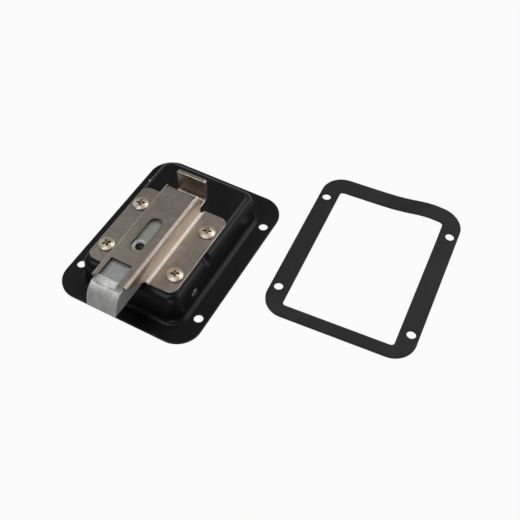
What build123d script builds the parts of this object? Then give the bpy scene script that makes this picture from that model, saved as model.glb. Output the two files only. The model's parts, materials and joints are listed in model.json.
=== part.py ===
from build123d import *
import math
import os

# Flush paddle handle latch, seen with its back up: a drawn pan with a mounting flange, a paddle
# that swings in the pan's mouth, and a sprung slam bolt that a stamped bracket guides on the back.
# Millimetres. X runs across the latch, Y along the bolt with the nose towards -Y, and Z out of the
# back. The origin is the centre of the four mounting holes on the flange's front face.

# Drawn pan, outside sizes where the walls meet the front plane
pan_sheet = 1.5
pan_width = 68.2
pan_length = 98.2
pan_shift = -1.6
pan_height = 22.0
pan_corner = 8.8
pan_draft = 4.5
pan_foot_round = 3.0
pan_top_round = 5.0
pan_foot_slack = 0.5

# Stiffening darts pressed into the pan's side walls
dart_inset = 38.3
dart_width = 12.5
dart_depth = 4.6
dart_foot = 10.8
dart_lean = 42.0

# Mounting flange and its four holes
mount_offset_x = 7.15
mount_spacing_y = 78.9
mount_hole = 5.6
flange_margin_x = 5.75
flange_margin_y = 12.7
flange_corner = 15.2

# Hinge pin of the paddle, with its head on one side and its clip on the other
pin_radius = 2.5
pin_inset = 20.9
pin_z = 9.0
pin_clearance = 0.06
pin_head_radius = 3.1
pin_head_height = 1.2
pin_head_rim = 0.4
pin_end = 1.2
clip_thickness = 0.8
clip_radius = 4.2
clip_groove_depth = 0.6
clip_mouth = 3.0
seat_clearance = 0.05
seat_rim = 0.3

# Paddle, a shallow pressed tray
paddle_sheet = 1.4
paddle_setback = 0.9
paddle_gap_side = 1.9
paddle_gap_near = 3.7
paddle_length = 67.6
paddle_rim = 7.0
paddle_corner = 7.0
paddle_ear_radius = 5.4
paddle_round = 1.5
paddle_swing = 37.3

# Lever that the paddle carries, with its tip in the bolt
lever_radius = 17.2
lever_sheet = 3.0
lever_neck = 3.2
lever_tip_radius = 2.0
lever_boss_radius = 5.0
lever_foot_width = 10.0
lever_foot_length = 19.0
lever_foot_sheet = 2.0
lever_foot_start = 3.0
lever_heel = 1.0
lever_clearance = 0.3
lever_slot_gap = 0.8
lever_slot_corner = 1.2
lever_rivet_radius = 2.0
lever_rivet_head = 3.2
lever_rivet_rise = 1.2
lever_rivet_start = 5.7
lever_rivet_spacing = 8.6

# Guide bracket, one stamping with a raised channel
bracket_sheet = 1.6
bracket_inset_x = 4.4
bracket_inset_y = 5.7
bracket_length = 61.8
bracket_corner = 5.0
bracket_inner_corner = 2.4
channel_width = 23.3
channel_height = 14.2
channel_overhang = 11.0
channel_length = 75.7
channel_bend = 1.4
channel_foot_bend = 2.2
prong_depth = 2.5
trim_run = 6.2
trim_rise = 5.8
notch_shift = -0.8
notch_width = 13.6
notch_depth = 14.1
slot_width = 8.0
slot_length = 26.0
slot_inset = 13.9
slot_shift = 0.1
flap_gap = 1.0
flap_side_gap = 1.2

# Bracket screws, with a lock washer and a nut under the pan's floor
screw_inset_x = 6.4
screw_inset_y = 11.8
screw_spacing_y = 35.6
screw_radius = 2.5
screw_hole_radius = 2.75
screw_head_radius = 5.0
screw_head_height = 2.4
screw_head_rim = 0.8
screw_recess = 1.3
screw_recess_span = 5.6
screw_recess_width = 1.4
washer_radius = 4.4
washer_thickness = 1.2
washer_split = 1.0
nut_flats = 8.0
nut_height = 4.0
screw_spare = 1.0

# Slam bolt
bolt_running_gap = 0.4
bolt_side_gap = 0.25
bolt_overhang = 21.9
bolt_length = 66.6
bolt_hump_length = 12.3
bolt_hump_gap = 0.3
bolt_front_height = 5.0
bolt_front_lean = 13.1
bolt_brow = 8.0
bolt_brow_rise = 0.2
bolt_edge = 0.8
knob_hole_radius = 2.5
knob_hole_depth = 5.0
knob_sink_radius = 3.8
knob_sink_angle = 90.0
knob_hole_inset = 40.5
pocket_spare = 0.4
pocket_draft = 6.0

# Tail plate under the bolt, with its tab turned up behind the bracket
tail_sheet = 2.4
tail_lap = 19.0
tail_reach = 29.7
tail_tab_height = 17.7
tail_bend = 3.4
tail_corner = 1.2
tail_rivet_radius = 1.6
tail_rivet_x = 6.3
tail_rivet_inset = 9.0

# Wire of both springs has a section of this many flats
wire_sides = 8

# Bolt spring in the bolt's rear bore
spring_wire = 0.9
spring_outer = 6.2
spring_turns = 10
spring_bore_gap = 0.3
spring_bore_depth = 18.0
spring_end_gap = 0.15

# Guide pin that holds the bolt spring on the bracket's flap
guide_gap = 0.5
guide_stem_radius = 1.2
guide_length = 12.5
guide_lead = 0.7
guide_head_radius = 2.3
guide_head_height = 0.8

# Torsion spring round the hinge pin
torsion_wire = 1.1
torsion_inner_gap = 0.55
torsion_pitch = 1.6
torsion_turns = 4
torsion_offset = 1.9
torsion_low_angle = 12.0
torsion_high_angle = 38.0
torsion_leg_gap = 0.2

# Rubber gasket, lying beside the latch
gasket_thickness = 1.6
gasket_margin_x = 5.0
gasket_margin_y = 19.5
gasket_corner = 14.0
gasket_window_gap = 0.2
gasket_window_corner = 2.2
gasket_x = 109.3
gasket_y = 45.7
gasket_turn = 4.2

pan_slope = math.tan(math.radians(pan_draft))
pan_wall = pan_sheet / math.cos(math.radians(pan_draft))
pan_near = pan_shift - pan_length / 2
floor_inside = pan_height - pan_sheet
mount_spacing_x = pan_width + 2 * mount_offset_x
flange_width = mount_spacing_x + 2 * flange_margin_x
flange_length = pan_length + 2 * flange_margin_y
dart_y = pan_near + dart_inset
plate_top = pan_height + bracket_sheet
bracket_width = pan_width - 2 * bracket_inset_x
bracket_near = pan_near + bracket_inset_y
bracket_far = bracket_near + bracket_length
channel_top = plate_top + channel_height
channel_near = pan_near - channel_overhang
channel_far = channel_near + channel_length
slot_centre_y = channel_near + notch_depth + slot_inset + slot_length / 2 - slot_width / 2
channel_inside = channel_width - 2 * bracket_sheet
channel_ceiling = channel_top - bracket_sheet
bolt_width = channel_inside - 2 * bolt_side_gap
bolt_bottom = pan_height + bolt_running_gap
bolt_top = channel_ceiling - bolt_running_gap
bolt_nose_y = pan_near - bolt_overhang
bolt_rear_y = bolt_nose_y + bolt_length
bolt_hump_y = bolt_nose_y + bolt_hump_length
knob_hole_y = bolt_nose_y + knob_hole_inset
spring_bore_y = bolt_rear_y - spring_bore_depth
tail_start_y = bolt_rear_y - tail_lap
tail_tab_y = bolt_rear_y + tail_reach
tail_tab_top = bolt_bottom + tail_tab_height
tail_rivet_y = bolt_rear_y - tail_rivet_inset
pin_y = pan_near + pin_inset
swing_half = math.radians(paddle_swing / 2)
tip_y = pin_y - lever_radius * math.sin(swing_half)
tip_z = pin_z + lever_radius * math.cos(swing_half)
pin_seat_x = pan_width / 2 - (pin_z + clip_radius) * pan_slope
tray_floor = paddle_setback + paddle_sheet
foot_near_y = pin_y + lever_foot_start
foot_far_y = foot_near_y + lever_foot_length
foot_x = lever_sheet / 2 - lever_foot_width
lever_rivet_x = (foot_x - lever_sheet / 2) / 2
lever_rivet_places = [
    (lever_rivet_x, foot_near_y + lever_rivet_start + step * lever_rivet_spacing)
    for step in range(2)
]
screw_x = pan_width / 2 - bracket_inset_x - screw_inset_x
screw_near_y = bracket_near + screw_inset_y
screw_places = [
    (side * screw_x, screw_near_y + step * screw_spacing_y) for side in (-1, 1) for step in range(2)
]
tail_rivet_places = [(side * tail_rivet_x, tail_rivet_y) for side in (-1, 1)]


def biarc(start, start_way, end, end_way):
    """Two arcs that leave start along start_way and reach end along end_way."""
    chord = end - start
    along = chord.dot(start_way + end_way)
    spread = 2 * (1 - start_way.dot(end_way))
    reach = (math.sqrt(along**2 + spread * chord.dot(chord)) - along) / spread
    start_handle = start + start_way * reach
    end_handle = end - end_way * reach
    middle = (start_handle + end_handle) * 0.5
    TangentArc(start, middle, tangent=start_way)
    TangentArc(middle, end, tangent=(end_handle - start_handle).normalized())


def coil_place(frame, radius, pitch, turn):
    """Point of a coil round the frame's Z axis, after so many turns."""
    angle = 2 * math.pi * turn
    across = frame.x_dir * (radius * math.cos(angle)) + frame.y_dir * (radius * math.sin(angle))
    return frame.origin + across + frame.z_dir * (pitch * turn)


def coil_way(frame, radius, pitch, turn):
    """Direction of the same coil there."""
    angle = 2 * math.pi * turn
    round_it = frame.y_dir * math.cos(angle) - frame.x_dir * math.sin(angle)
    return (round_it * (2 * math.pi * radius) + frame.z_dir * pitch).normalized()


def coil_arcs(frame, radius, pitch, first, last):
    """Biarcs of half a turn each along a coil, from turn first to turn last."""
    steps = round(2 * (last - first))
    stops = [first + (last - first) * step / steps for step in range(steps + 1)]
    for near, far in zip(stops, stops[1:]):
        biarc(
            coil_place(frame, radius, pitch, near),
            coil_way(frame, radius, pitch, near),
            coil_place(frame, radius, pitch, far),
            coil_way(frame, radius, pitch, far),
        )


def least_gap(path, radius, wire):
    """Least clear space between stretches of a wound tube that lie over half a turn apart."""
    count = math.ceil(24 * path.length / (2 * math.pi * radius))
    points = [path @ (step / count) for step in range(count + 1)]
    spans = [
        (points[near] - points[far]).length
        for near in range(count + 1)
        for far in range(near + 12, count + 1)
    ]
    return min(spans) - wire


# Hollow of the pan: the tapered inside, kept off the darts by the sheet's thickness
dart_ridge = Vector(-math.tan(math.radians(dart_lean)), 0, 1).normalized()
dart_out = Vector(dart_ridge.Z, 0, -dart_ridge.X)


def dart_plane(side, inset):
    """Plane square to a dart's ridge, on the pan's top corner, moved in by inset."""
    corner = Vector(pan_width / 2 - pan_height * pan_slope, dart_y, pan_height)
    ridge = corner - dart_out * (dart_depth + inset)
    return Plane(
        origin=(side * ridge.X, ridge.Y, ridge.Z),
        x_dir=(0, 1, 0),
        z_dir=(side * dart_ridge.X, 0, dart_ridge.Z),
    )


def dart_vee(side):
    """Corners of a dart's open V, widening outwards from the ridge."""
    rise = -side * 2 * dart_depth
    return (0, 0), (dart_width, rise), (-dart_width, rise)


with BuildPart() as pan_hollow:
    with BuildSketch():
        with Locations((0, pan_shift)):
            RectangleRounded(
                pan_width - 2 * pan_wall, pan_length - 2 * pan_wall, pan_corner - pan_wall
            )
    extrude(amount=floor_inside, taper=pan_draft)
    fillet(pan_hollow.faces().sort_by(Axis.Z)[-1].edges(), pan_top_round - pan_sheet)
    for side in (-1, 1):
        with BuildSketch(dart_plane(side, pan_sheet)):
            Polygon(*dart_vee(side), align=None)
        extrude(amount=dart_foot, both=True, mode=Mode.SUBTRACT)

lever_lean = (pan_height - pin_z) * math.tan(swing_half)
lever_reach = lever_lean + lever_neck / 2 / math.cos(swing_half)
with BuildPart() as mounting_pan:
    with BuildSketch():
        with Locations((0, pan_shift)):
            RectangleRounded(pan_width, pan_length, pan_corner)
    extrude(amount=pan_height, taper=pan_draft)
    fillet(mounting_pan.faces().sort_by(Axis.Z)[-1].edges(), pan_top_round)
    with BuildSketch():
        RectangleRounded(flange_width, flange_length, flange_corner)
    extrude(amount=pan_sheet)
    foot = mounting_pan.edges().filter_by_position(Axis.Z, pan_sheet, pan_sheet)
    foot = foot.filter_by(lambda edge: abs(edge.center().X) < pan_width / 2 + pan_foot_slack)
    foot = foot.filter_by(
        lambda edge: abs(edge.center().Y - pan_shift) < pan_length / 2 + pan_foot_slack
    )
    fillet(foot, pan_foot_round)
    for side in (-1, 1):
        with BuildSketch(dart_plane(side, 0)):
            Polygon(*dart_vee(side), align=None)
        extrude(amount=dart_foot, both=True, mode=Mode.SUBTRACT)
    add(pan_hollow.part, mode=Mode.SUBTRACT)
    mouth = mounting_pan.faces().sort_by(Axis.Z)[0].inner_wires()[0].edges()
    fillet(mouth, pan_foot_round + pan_sheet)
    with GridLocations(mount_spacing_x, mount_spacing_y, 2, 2):
        Hole(radius=mount_hole / 2)
    with Locations(*[(x, y, pan_height) for x, y in screw_places]):
        Hole(radius=screw_hole_radius, depth=2 * pan_sheet)
    with BuildSketch(Plane.XY.offset(pan_height)):
        with Locations((0, pin_y)):
            RectangleRounded(
                lever_sheet + 2 * lever_slot_gap,
                2 * (lever_reach + lever_slot_gap),
                lever_slot_corner,
            )
    extrude(amount=-2 * pan_sheet, mode=Mode.SUBTRACT)
    with BuildSketch(Plane.YZ):
        with Locations((pin_y, pin_z)):
            Circle(pin_radius + seat_clearance)
    extrude(amount=pan_width, both=True, mode=Mode.SUBTRACT)
    for side, seat in ((-1, clip_radius), (1, pin_head_radius)):
        with BuildSketch(Plane.YZ.offset(side * pin_seat_x)):
            with Locations((pin_y, pin_z)):
                Circle(seat + seat_rim)
        extrude(amount=side * pan_sheet * 2, mode=Mode.SUBTRACT)

mounting_pan.part.label = "mounting_pan"

# Guide bracket: the channel's section runs the whole length, then the blank's outline trims it
channel_half = channel_width / 2
wall_middle = channel_half - bracket_sheet / 2
flange_middle = pan_height + bracket_sheet / 2
flap_half = channel_inside / 2 - flap_side_gap
flap_bottom = bolt_bottom + tail_sheet + flap_gap
flap_root_y = channel_far - channel_bend - bracket_sheet
spring_z = (bolt_bottom + tail_sheet + bolt_top) / 2
with BuildPart() as guide_bracket:
    with BuildSketch(Plane.XZ.offset(-bracket_far)):
        with BuildLine():
            FilletPolyline(
                (-bracket_width / 2, flange_middle),
                (-wall_middle, flange_middle),
                (-wall_middle, channel_top - bracket_sheet / 2),
                (wall_middle, channel_top - bracket_sheet / 2),
                (wall_middle, flange_middle),
                (bracket_width / 2, flange_middle),
                radius=[channel_foot_bend, channel_bend, channel_bend, channel_foot_bend],
            )
        trace(line_width=bracket_sheet)
    extrude(amount=bracket_far - channel_near)
    with BuildSketch():
        with Locations((0, (bracket_near + bracket_far) / 2)):
            RectangleRounded(bracket_width, bracket_far - bracket_near, bracket_corner)
        with Locations((0, (channel_near + channel_far) / 2)):
            Rectangle(channel_width, channel_far - channel_near)
    extrude(amount=channel_top, mode=Mode.INTERSECT)
    with BuildSketch():
        with Locations((0, bracket_far)):
            Rectangle(channel_width + bracket_sheet, 2 * (bracket_far - channel_far))
    extrude(amount=channel_top, mode=Mode.SUBTRACT)
    inner_corners = guide_bracket.edges().filter_by(Axis.Z).group_by(Axis.Y)[-1]
    fillet(inner_corners.filter_by(lambda edge: abs(edge.center().X) < channel_width), bracket_inner_corner)
    with BuildSketch(Plane.YZ):
        with BuildLine():
            trim = ThreePointArc(
                (bracket_near, plate_top),
                (bracket_near - trim_run, plate_top + trim_rise),
                (channel_near, channel_top - prong_depth),
            )
            Polyline(trim @ 1, (channel_near - 1, channel_top - prong_depth))
            Polyline(
                (channel_near - 1, channel_top - prong_depth),
                (channel_near - 1, pan_height),
                (bracket_near, pan_height),
                (bracket_near, plate_top),
            )
        make_face()
    extrude(amount=channel_width, both=True, mode=Mode.SUBTRACT)
    with BuildSketch(Plane.XY.offset(channel_top)):
        with Locations((notch_shift, channel_near)):
            Rectangle(notch_width, 2 * notch_depth)
        with Locations((slot_shift, slot_centre_y)):
            SlotOverall(slot_length, slot_width, rotation=90)
        with Locations((0, channel_far)):
            Rectangle(2 * flap_half + bracket_sheet, 2 * (channel_far - flap_root_y))
    extrude(amount=-1.5 * bracket_sheet, mode=Mode.SUBTRACT)
    with BuildSketch(Plane.YZ):
        with BuildLine():
            FilletPolyline(
                (flap_root_y, channel_top - bracket_sheet / 2),
                (channel_far - bracket_sheet / 2, channel_top - bracket_sheet / 2),
                (channel_far - bracket_sheet / 2, flap_bottom),
                radius=channel_bend,
            )
        trace(line_width=bracket_sheet)
    extrude(amount=flap_half, both=True)
    with Locations(Plane.XZ.offset(-channel_far)):
        with Locations((0, spring_z)):
            Hole(radius=guide_stem_radius + seat_clearance, depth=2 * bracket_sheet)
    with Locations(*[(x, y, plate_top) for x, y in screw_places]):
        Hole(radius=screw_hole_radius, depth=2 * bracket_sheet)

guide_bracket.part.label = "guide_bracket"

# Screws through bracket and floor, each into a lock washer and a nut
screw_tip = floor_inside - washer_thickness - nut_height - screw_spare
with BuildPart() as bracket_screws:
    for x, y in screw_places:
        with BuildSketch(Plane.XZ.offset(-y)):
            with BuildLine():
                crown = TangentArc(
                    (x, plate_top + screw_head_height),
                    (x + screw_head_radius, plate_top + screw_head_rim),
                    tangent=(1, 0),
                )
                Polyline(
                    crown @ 1,
                    (x + screw_head_radius, plate_top),
                    (x + screw_radius, plate_top),
                    (x + screw_radius, screw_tip),
                    (x, screw_tip),
                    crown @ 0,
                )
            make_face()
        revolve(axis=Axis((x, y, 0), (0, 0, 1)))
    with BuildSketch(Plane.XY.offset(plate_top + screw_head_height)):
        with Locations(*screw_places):
            Rectangle(screw_recess_span, screw_recess_width)
            Rectangle(screw_recess_width, screw_recess_span)
    extrude(amount=-screw_recess, mode=Mode.SUBTRACT)

bracket_screws.part.label = "bracket_screws"

with BuildPart() as lock_washers:
    with BuildSketch(Plane.XY.offset(floor_inside - washer_thickness)):
        with Locations(*screw_places):
            Circle(washer_radius)
            Circle(screw_radius + seat_clearance, mode=Mode.SUBTRACT)
        with Locations(*[(x, y + washer_radius) for x, y in screw_places]):
            Rectangle(washer_split, 2 * washer_radius, mode=Mode.SUBTRACT)
    extrude(amount=washer_thickness)

lock_washers.part.label = "lock_washers"

with BuildPart() as bracket_nuts:
    with BuildSketch(Plane.XY.offset(floor_inside - washer_thickness - nut_height)):
        with Locations(*screw_places):
            RegularPolygon(nut_flats / 2, 6, major_radius=False, rotation=30)
            Circle(screw_radius + seat_clearance, mode=Mode.SUBTRACT)
    extrude(amount=nut_height)

bracket_nuts.part.label = "bracket_nuts"

# Slam bolt: the nose profile across the full width, the hump left standing in the bracket's notch
bolt_half = bolt_width / 2
hump_half = notch_width / 2 - bolt_hump_gap
front_top_y = bolt_nose_y + bolt_front_height * math.tan(math.radians(bolt_front_lean))
front_top_z = bolt_bottom + bolt_front_height
spring_bore = spring_outer / 2 + spring_bore_gap
pocket_ceiling = pin_z + lever_radius + lever_tip_radius + pocket_spare
with BuildPart() as slam_bolt:
    with BuildSketch(Plane.YZ):
        with BuildLine():
            front = Line((bolt_nose_y, bolt_bottom), (front_top_y, front_top_z))
            brow = TangentArc(
                front @ 1,
                (bolt_nose_y + bolt_brow, bolt_top + bolt_brow_rise),
                tangent=front % 1,
            )
            crown = TangentArc(brow @ 1, (bolt_hump_y, channel_top), tangent=brow % 1)
            Polyline(
                crown @ 1,
                (bolt_hump_y, bolt_top),
                (bolt_rear_y, bolt_top),
                (bolt_rear_y, bolt_bottom),
                front @ 0,
            )
        make_face()
    extrude(amount=bolt_half, both=True)
    with BuildSketch(Plane.XY.offset(bolt_top)):
        with Locations((0, bolt_nose_y / 2)):
            Rectangle(2 * bolt_width, -2 * bolt_nose_y)
            with Locations((notch_shift, 0)):
                Rectangle(2 * hump_half, -2 * bolt_nose_y, mode=Mode.SUBTRACT)
    extrude(amount=channel_top, mode=Mode.SUBTRACT)
    with BuildSketch(Plane.XY.offset(bolt_bottom)):
        with Locations((0, bolt_rear_y)):
            Rectangle(2 * bolt_width, 2 * (bolt_rear_y - tail_start_y))
    extrude(amount=tail_sheet, mode=Mode.SUBTRACT)
    with BuildSketch(Plane.XZ.offset(-bolt_rear_y)):
        with Locations((0, spring_z)):
            Circle(spring_bore)
    extrude(amount=bolt_rear_y - spring_bore_y, mode=Mode.SUBTRACT)
    with BuildSketch(Plane.XY.offset(pocket_ceiling)):
        with Locations((0, tip_y)):
            Rectangle(
                lever_sheet + 2 * lever_clearance, 2 * (lever_tip_radius + lever_clearance)
            )
    extrude(amount=bolt_bottom - pocket_ceiling, taper=-pocket_draft, mode=Mode.SUBTRACT)
    with Locations((slot_shift, knob_hole_y, bolt_top)):
        CounterSinkHole(
            radius=knob_hole_radius,
            counter_sink_radius=knob_sink_radius,
            depth=knob_hole_depth,
            counter_sink_angle=knob_sink_angle,
        )
    faces = slam_bolt.faces().sort_by(Axis.X)
    sides = faces[0].edges() + faces[-1].edges()
    fillet(sides.filter_by(lambda edge: edge.center().Y < tail_start_y), bolt_edge)
    with Locations(*[(x, y, bolt_top) for x, y in tail_rivet_places]):
        Hole(radius=tail_rivet_radius + seat_clearance, depth=bolt_top - bolt_bottom)

slam_bolt.part.label = "slam_bolt"

# Tail plate, riveted under the bolt's rear, with the tab turned up clear of the channel
with BuildPart() as tail_plate:
    with BuildSketch(Plane.YZ):
        with BuildLine():
            FilletPolyline(
                (tail_start_y + seat_clearance, bolt_bottom + tail_sheet / 2),
                (tail_tab_y + tail_sheet / 2, bolt_bottom + tail_sheet / 2),
                (tail_tab_y + tail_sheet / 2, tail_tab_top),
                radius=tail_bend,
            )
        trace(line_width=tail_sheet)
    extrude(amount=bolt_half, both=True)
    tab_corners = tail_plate.edges().filter_by(Axis.Y).group_by(Axis.Z)[-1]
    fillet(tab_corners, tail_corner)
    with Locations(*[(x, y, bolt_bottom + tail_sheet) for x, y in tail_rivet_places]):
        Hole(radius=tail_rivet_radius + seat_clearance, depth=2 * tail_sheet)

tail_plate.part.label = "tail_plate"

with BuildPart() as tail_rivets:
    with BuildSketch(Plane.XY.offset(bolt_bottom)):
        with Locations(*tail_rivet_places):
            Circle(tail_rivet_radius)
    extrude(amount=bolt_top - bolt_bottom)

tail_rivets.part.label = "tail_rivets"

# Compression spring between the bore's floor and the bracket's flap, and its guide pin
spring_mean = (spring_outer - spring_wire) / 2
spring_start_y = spring_bore_y + spring_end_gap + spring_wire / 2
flap_inside_y = channel_far - bracket_sheet
spring_length = flap_inside_y - spring_end_gap - spring_wire / 2 - spring_start_y
spring_pitch = spring_length / spring_turns
spring_frame = Plane(origin=(0, spring_start_y, spring_z), x_dir=(1, 0, 0), z_dir=(0, 1, 0))
with BuildPart() as bolt_spring:
    with BuildLine():
        coil_arcs(spring_frame, spring_mean, spring_pitch, 0, spring_turns)
    spring_path = bolt_spring.pending_edges_as_wire
    spring_gap = least_gap(spring_path, spring_mean, spring_wire)
    with BuildSketch(Plane(origin=spring_path @ 0, z_dir=spring_path % 0)):
        RegularPolygon(spring_wire / 2, wire_sides)
    sweep()

bolt_spring.part.label = "bolt_spring"
print(f"bolt_spring least gap {spring_gap:.2f} mm")

guide_radius = spring_outer / 2 - spring_wire - guide_gap
guide_tip_y = flap_inside_y - guide_length
with BuildPart() as spring_guide_pin:
    with BuildSketch(Plane.YZ):
        with BuildLine():
            button = TangentArc(
                (channel_far + guide_head_height, spring_z),
                (channel_far, spring_z + guide_head_radius),
                tangent=(0, 1),
            )
            Polyline(
                button @ 1,
                (channel_far, spring_z + guide_stem_radius),
                (flap_inside_y, spring_z + guide_stem_radius),
                (flap_inside_y, spring_z + guide_radius),
                (guide_tip_y + guide_lead, spring_z + guide_radius),
                (guide_tip_y, spring_z + guide_radius - guide_lead),
                (guide_tip_y, spring_z),
                button @ 0,
            )
        make_face()
    revolve(axis=Axis((0, 0, spring_z), (0, 1, 0)))

spring_guide_pin.part.label = "spring_guide_pin"

# Paddle: a pressed tray in the pan's mouth, hung on the pin by two ears
paddle_width = pan_width - 2 * pan_wall - 2 * paddle_gap_side
paddle_near = pan_near + pan_wall + paddle_gap_near
paddle_middle = paddle_near + paddle_length / 2
with BuildPart() as paddle_tray:
    with BuildSketch(Plane.XY.offset(paddle_setback)):
        with Locations((0, paddle_middle)):
            RectangleRounded(paddle_width, paddle_length, paddle_corner)
    extrude(amount=paddle_rim)
    with BuildSketch(Plane.YZ):
        with Locations((pin_y, pin_z)):
            Circle(paddle_ear_radius)
        with Locations((pin_y, (pin_z + tray_floor) / 2)):
            Rectangle(2 * paddle_ear_radius, pin_z - tray_floor)
    extrude(amount=paddle_width / 2, both=True)
    fillet(paddle_tray.faces().sort_by(Axis.Z)[0].edges(), paddle_round + paddle_sheet)
    with BuildSketch(Plane.XY.offset(tray_floor)):
        with Locations((0, paddle_middle)):
            RectangleRounded(
                paddle_width - 2 * paddle_sheet,
                paddle_length - 2 * paddle_sheet,
                paddle_corner - paddle_sheet,
            )
    extrude(amount=pan_height, mode=Mode.SUBTRACT)
    inside = paddle_tray.faces().filter_by(Plane.XY).group_by(Axis.Z)[1]
    fillet(inside.edges(), paddle_round)
    with BuildSketch(Plane.YZ):
        with Locations((pin_y, pin_z)):
            Circle(pin_radius + pin_clearance)
    extrude(amount=pan_width, both=True, mode=Mode.SUBTRACT)
    with Locations(*[(x, y, tray_floor) for x, y in lever_rivet_places]):
        Hole(radius=lever_rivet_radius + seat_clearance, depth=2 * paddle_sheet)

paddle_tray.part.label = "paddle_tray"

# Lever: a foot riveted to the tray, a web round the pin, and a neck with the rounded tip
with BuildPart() as paddle_lever:
    with BuildSketch(Plane.YZ):
        with BuildLine():
            Polyline(
                (pin_y - lever_heel, tray_floor),
                (foot_far_y, tray_floor),
                (foot_far_y, tray_floor + lever_foot_sheet),
                (pin_y, pin_z + lever_boss_radius),
                (pin_y - lever_boss_radius, pin_z),
                (pin_y - lever_heel, tray_floor),
            )
        make_face()
        with Locations((pin_y, pin_z)):
            Circle(lever_boss_radius)
        with Locations((tip_y, tip_z)):
            Circle(lever_tip_radius)
        with Locations(((pin_y + tip_y) / 2, (pin_z + tip_z) / 2)):
            Rectangle(lever_neck, lever_radius, rotation=math.degrees(swing_half))
    extrude(amount=lever_sheet / 2, both=True)
    with BuildSketch(Plane.XY.offset(tray_floor)):
        with Locations((foot_x + lever_foot_width / 2, (foot_near_y + foot_far_y) / 2)):
            Rectangle(lever_foot_width, lever_foot_length)
    extrude(amount=lever_foot_sheet)
    with BuildSketch(Plane.YZ):
        with Locations((pin_y, pin_z)):
            Circle(pin_radius + pin_clearance)
    extrude(amount=lever_sheet, both=True, mode=Mode.SUBTRACT)
    with Locations(*[(x, y, tray_floor + lever_foot_sheet) for x, y in lever_rivet_places]):
        Hole(radius=lever_rivet_radius + seat_clearance, depth=2 * lever_foot_sheet)

paddle_lever.part.label = "paddle_lever"

with BuildPart() as lever_rivets:
    with BuildSketch(Plane.XY.offset(paddle_setback)):
        with Locations(*lever_rivet_places):
            Circle(lever_rivet_radius)
    extrude(amount=paddle_sheet + lever_foot_sheet)
    with BuildSketch(Plane.XY.offset(tray_floor + lever_foot_sheet)):
        with Locations(*lever_rivet_places):
            Circle(lever_rivet_head)
    extrude(amount=lever_rivet_rise)
    chamfer(lever_rivets.faces().group_by(Axis.Z)[-1].edges(), lever_rivet_rise / 2)

lever_rivets.part.label = "lever_rivets"

# Hinge pin across the pan, headed on one side and clipped on the other
clip_seat_x = -pin_seat_x - seat_clearance
groove_far_x = clip_seat_x - clip_thickness - seat_clearance
groove_radius = pin_radius - clip_groove_depth
with BuildPart() as hinge_pin:
    with BuildSketch(Plane.XZ.offset(-pin_y)):
        with BuildLine():
            dome = TangentArc(
                (pin_seat_x + pin_head_height, pin_z),
                (pin_seat_x + pin_head_rim, pin_z + pin_head_radius),
                tangent=(0, 1),
            )
            Polyline(
                dome @ 1,
                (pin_seat_x, pin_z + pin_head_radius),
                (pin_seat_x, pin_z + pin_radius),
                (-pin_seat_x, pin_z + pin_radius),
                (-pin_seat_x, pin_z + groove_radius),
                (groove_far_x, pin_z + groove_radius),
                (groove_far_x, pin_z + pin_radius),
                (groove_far_x - pin_end, pin_z + pin_radius),
                (groove_far_x - pin_end, pin_z),
                dome @ 0,
            )
        make_face()
    revolve(axis=Axis((0, pin_y, pin_z), (1, 0, 0)))

hinge_pin.part.label = "hinge_pin"

with BuildPart() as pin_clip:
    with BuildSketch(Plane.YZ.offset(clip_seat_x)):
        with Locations((pin_y, pin_z)):
            Circle(clip_radius)
            Circle(groove_radius + seat_clearance, mode=Mode.SUBTRACT)
        with Locations((pin_y, pin_z + clip_radius)):
            Rectangle(clip_mouth, 2 * clip_radius, mode=Mode.SUBTRACT)
    extrude(amount=-clip_thickness)

pin_clip.part.label = "pin_clip"

# Torsion spring round the pin, one leg on the tray and the other under the pan's floor
torsion_mean = pin_radius + torsion_inner_gap + torsion_wire / 2
torsion_start_x = lever_sheet / 2 + torsion_offset
torsion_frame = Plane(origin=(torsion_start_x, pin_y, pin_z), x_dir=(0, 1, 0), z_dir=(1, 0, 0))
torsion_first = (torsion_low_angle - 90) / 360
torsion_last = torsion_turns + (90 - torsion_high_angle) / 360
leg_seat = torsion_wire / 2 + torsion_leg_gap
low_way = coil_way(torsion_frame, torsion_mean, torsion_pitch, torsion_first)
low_root = coil_place(torsion_frame, torsion_mean, torsion_pitch, torsion_first)
low_leg = (low_root.Z - tray_floor - leg_seat) / low_way.Z
high_way = coil_way(torsion_frame, torsion_mean, torsion_pitch, torsion_last)
high_root = coil_place(torsion_frame, torsion_mean, torsion_pitch, torsion_last)
high_leg = (floor_inside - leg_seat - high_root.Z) / high_way.Z
with BuildPart() as paddle_spring:
    with BuildLine():
        Line(low_root - low_way * low_leg, low_root)
        coil_arcs(torsion_frame, torsion_mean, torsion_pitch, torsion_first, torsion_last)
        Line(high_root, high_root + high_way * high_leg)
    torsion_path = paddle_spring.pending_edges_as_wire
    torsion_gap = least_gap(torsion_path, torsion_mean, torsion_wire)
    with BuildSketch(Plane(origin=torsion_path @ 0, z_dir=torsion_path % 0)):
        RegularPolygon(torsion_wire / 2, wire_sides)
    sweep()

paddle_spring.part.label = "paddle_spring"
print(f"paddle_spring least gap {torsion_gap:.2f} mm")

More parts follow.
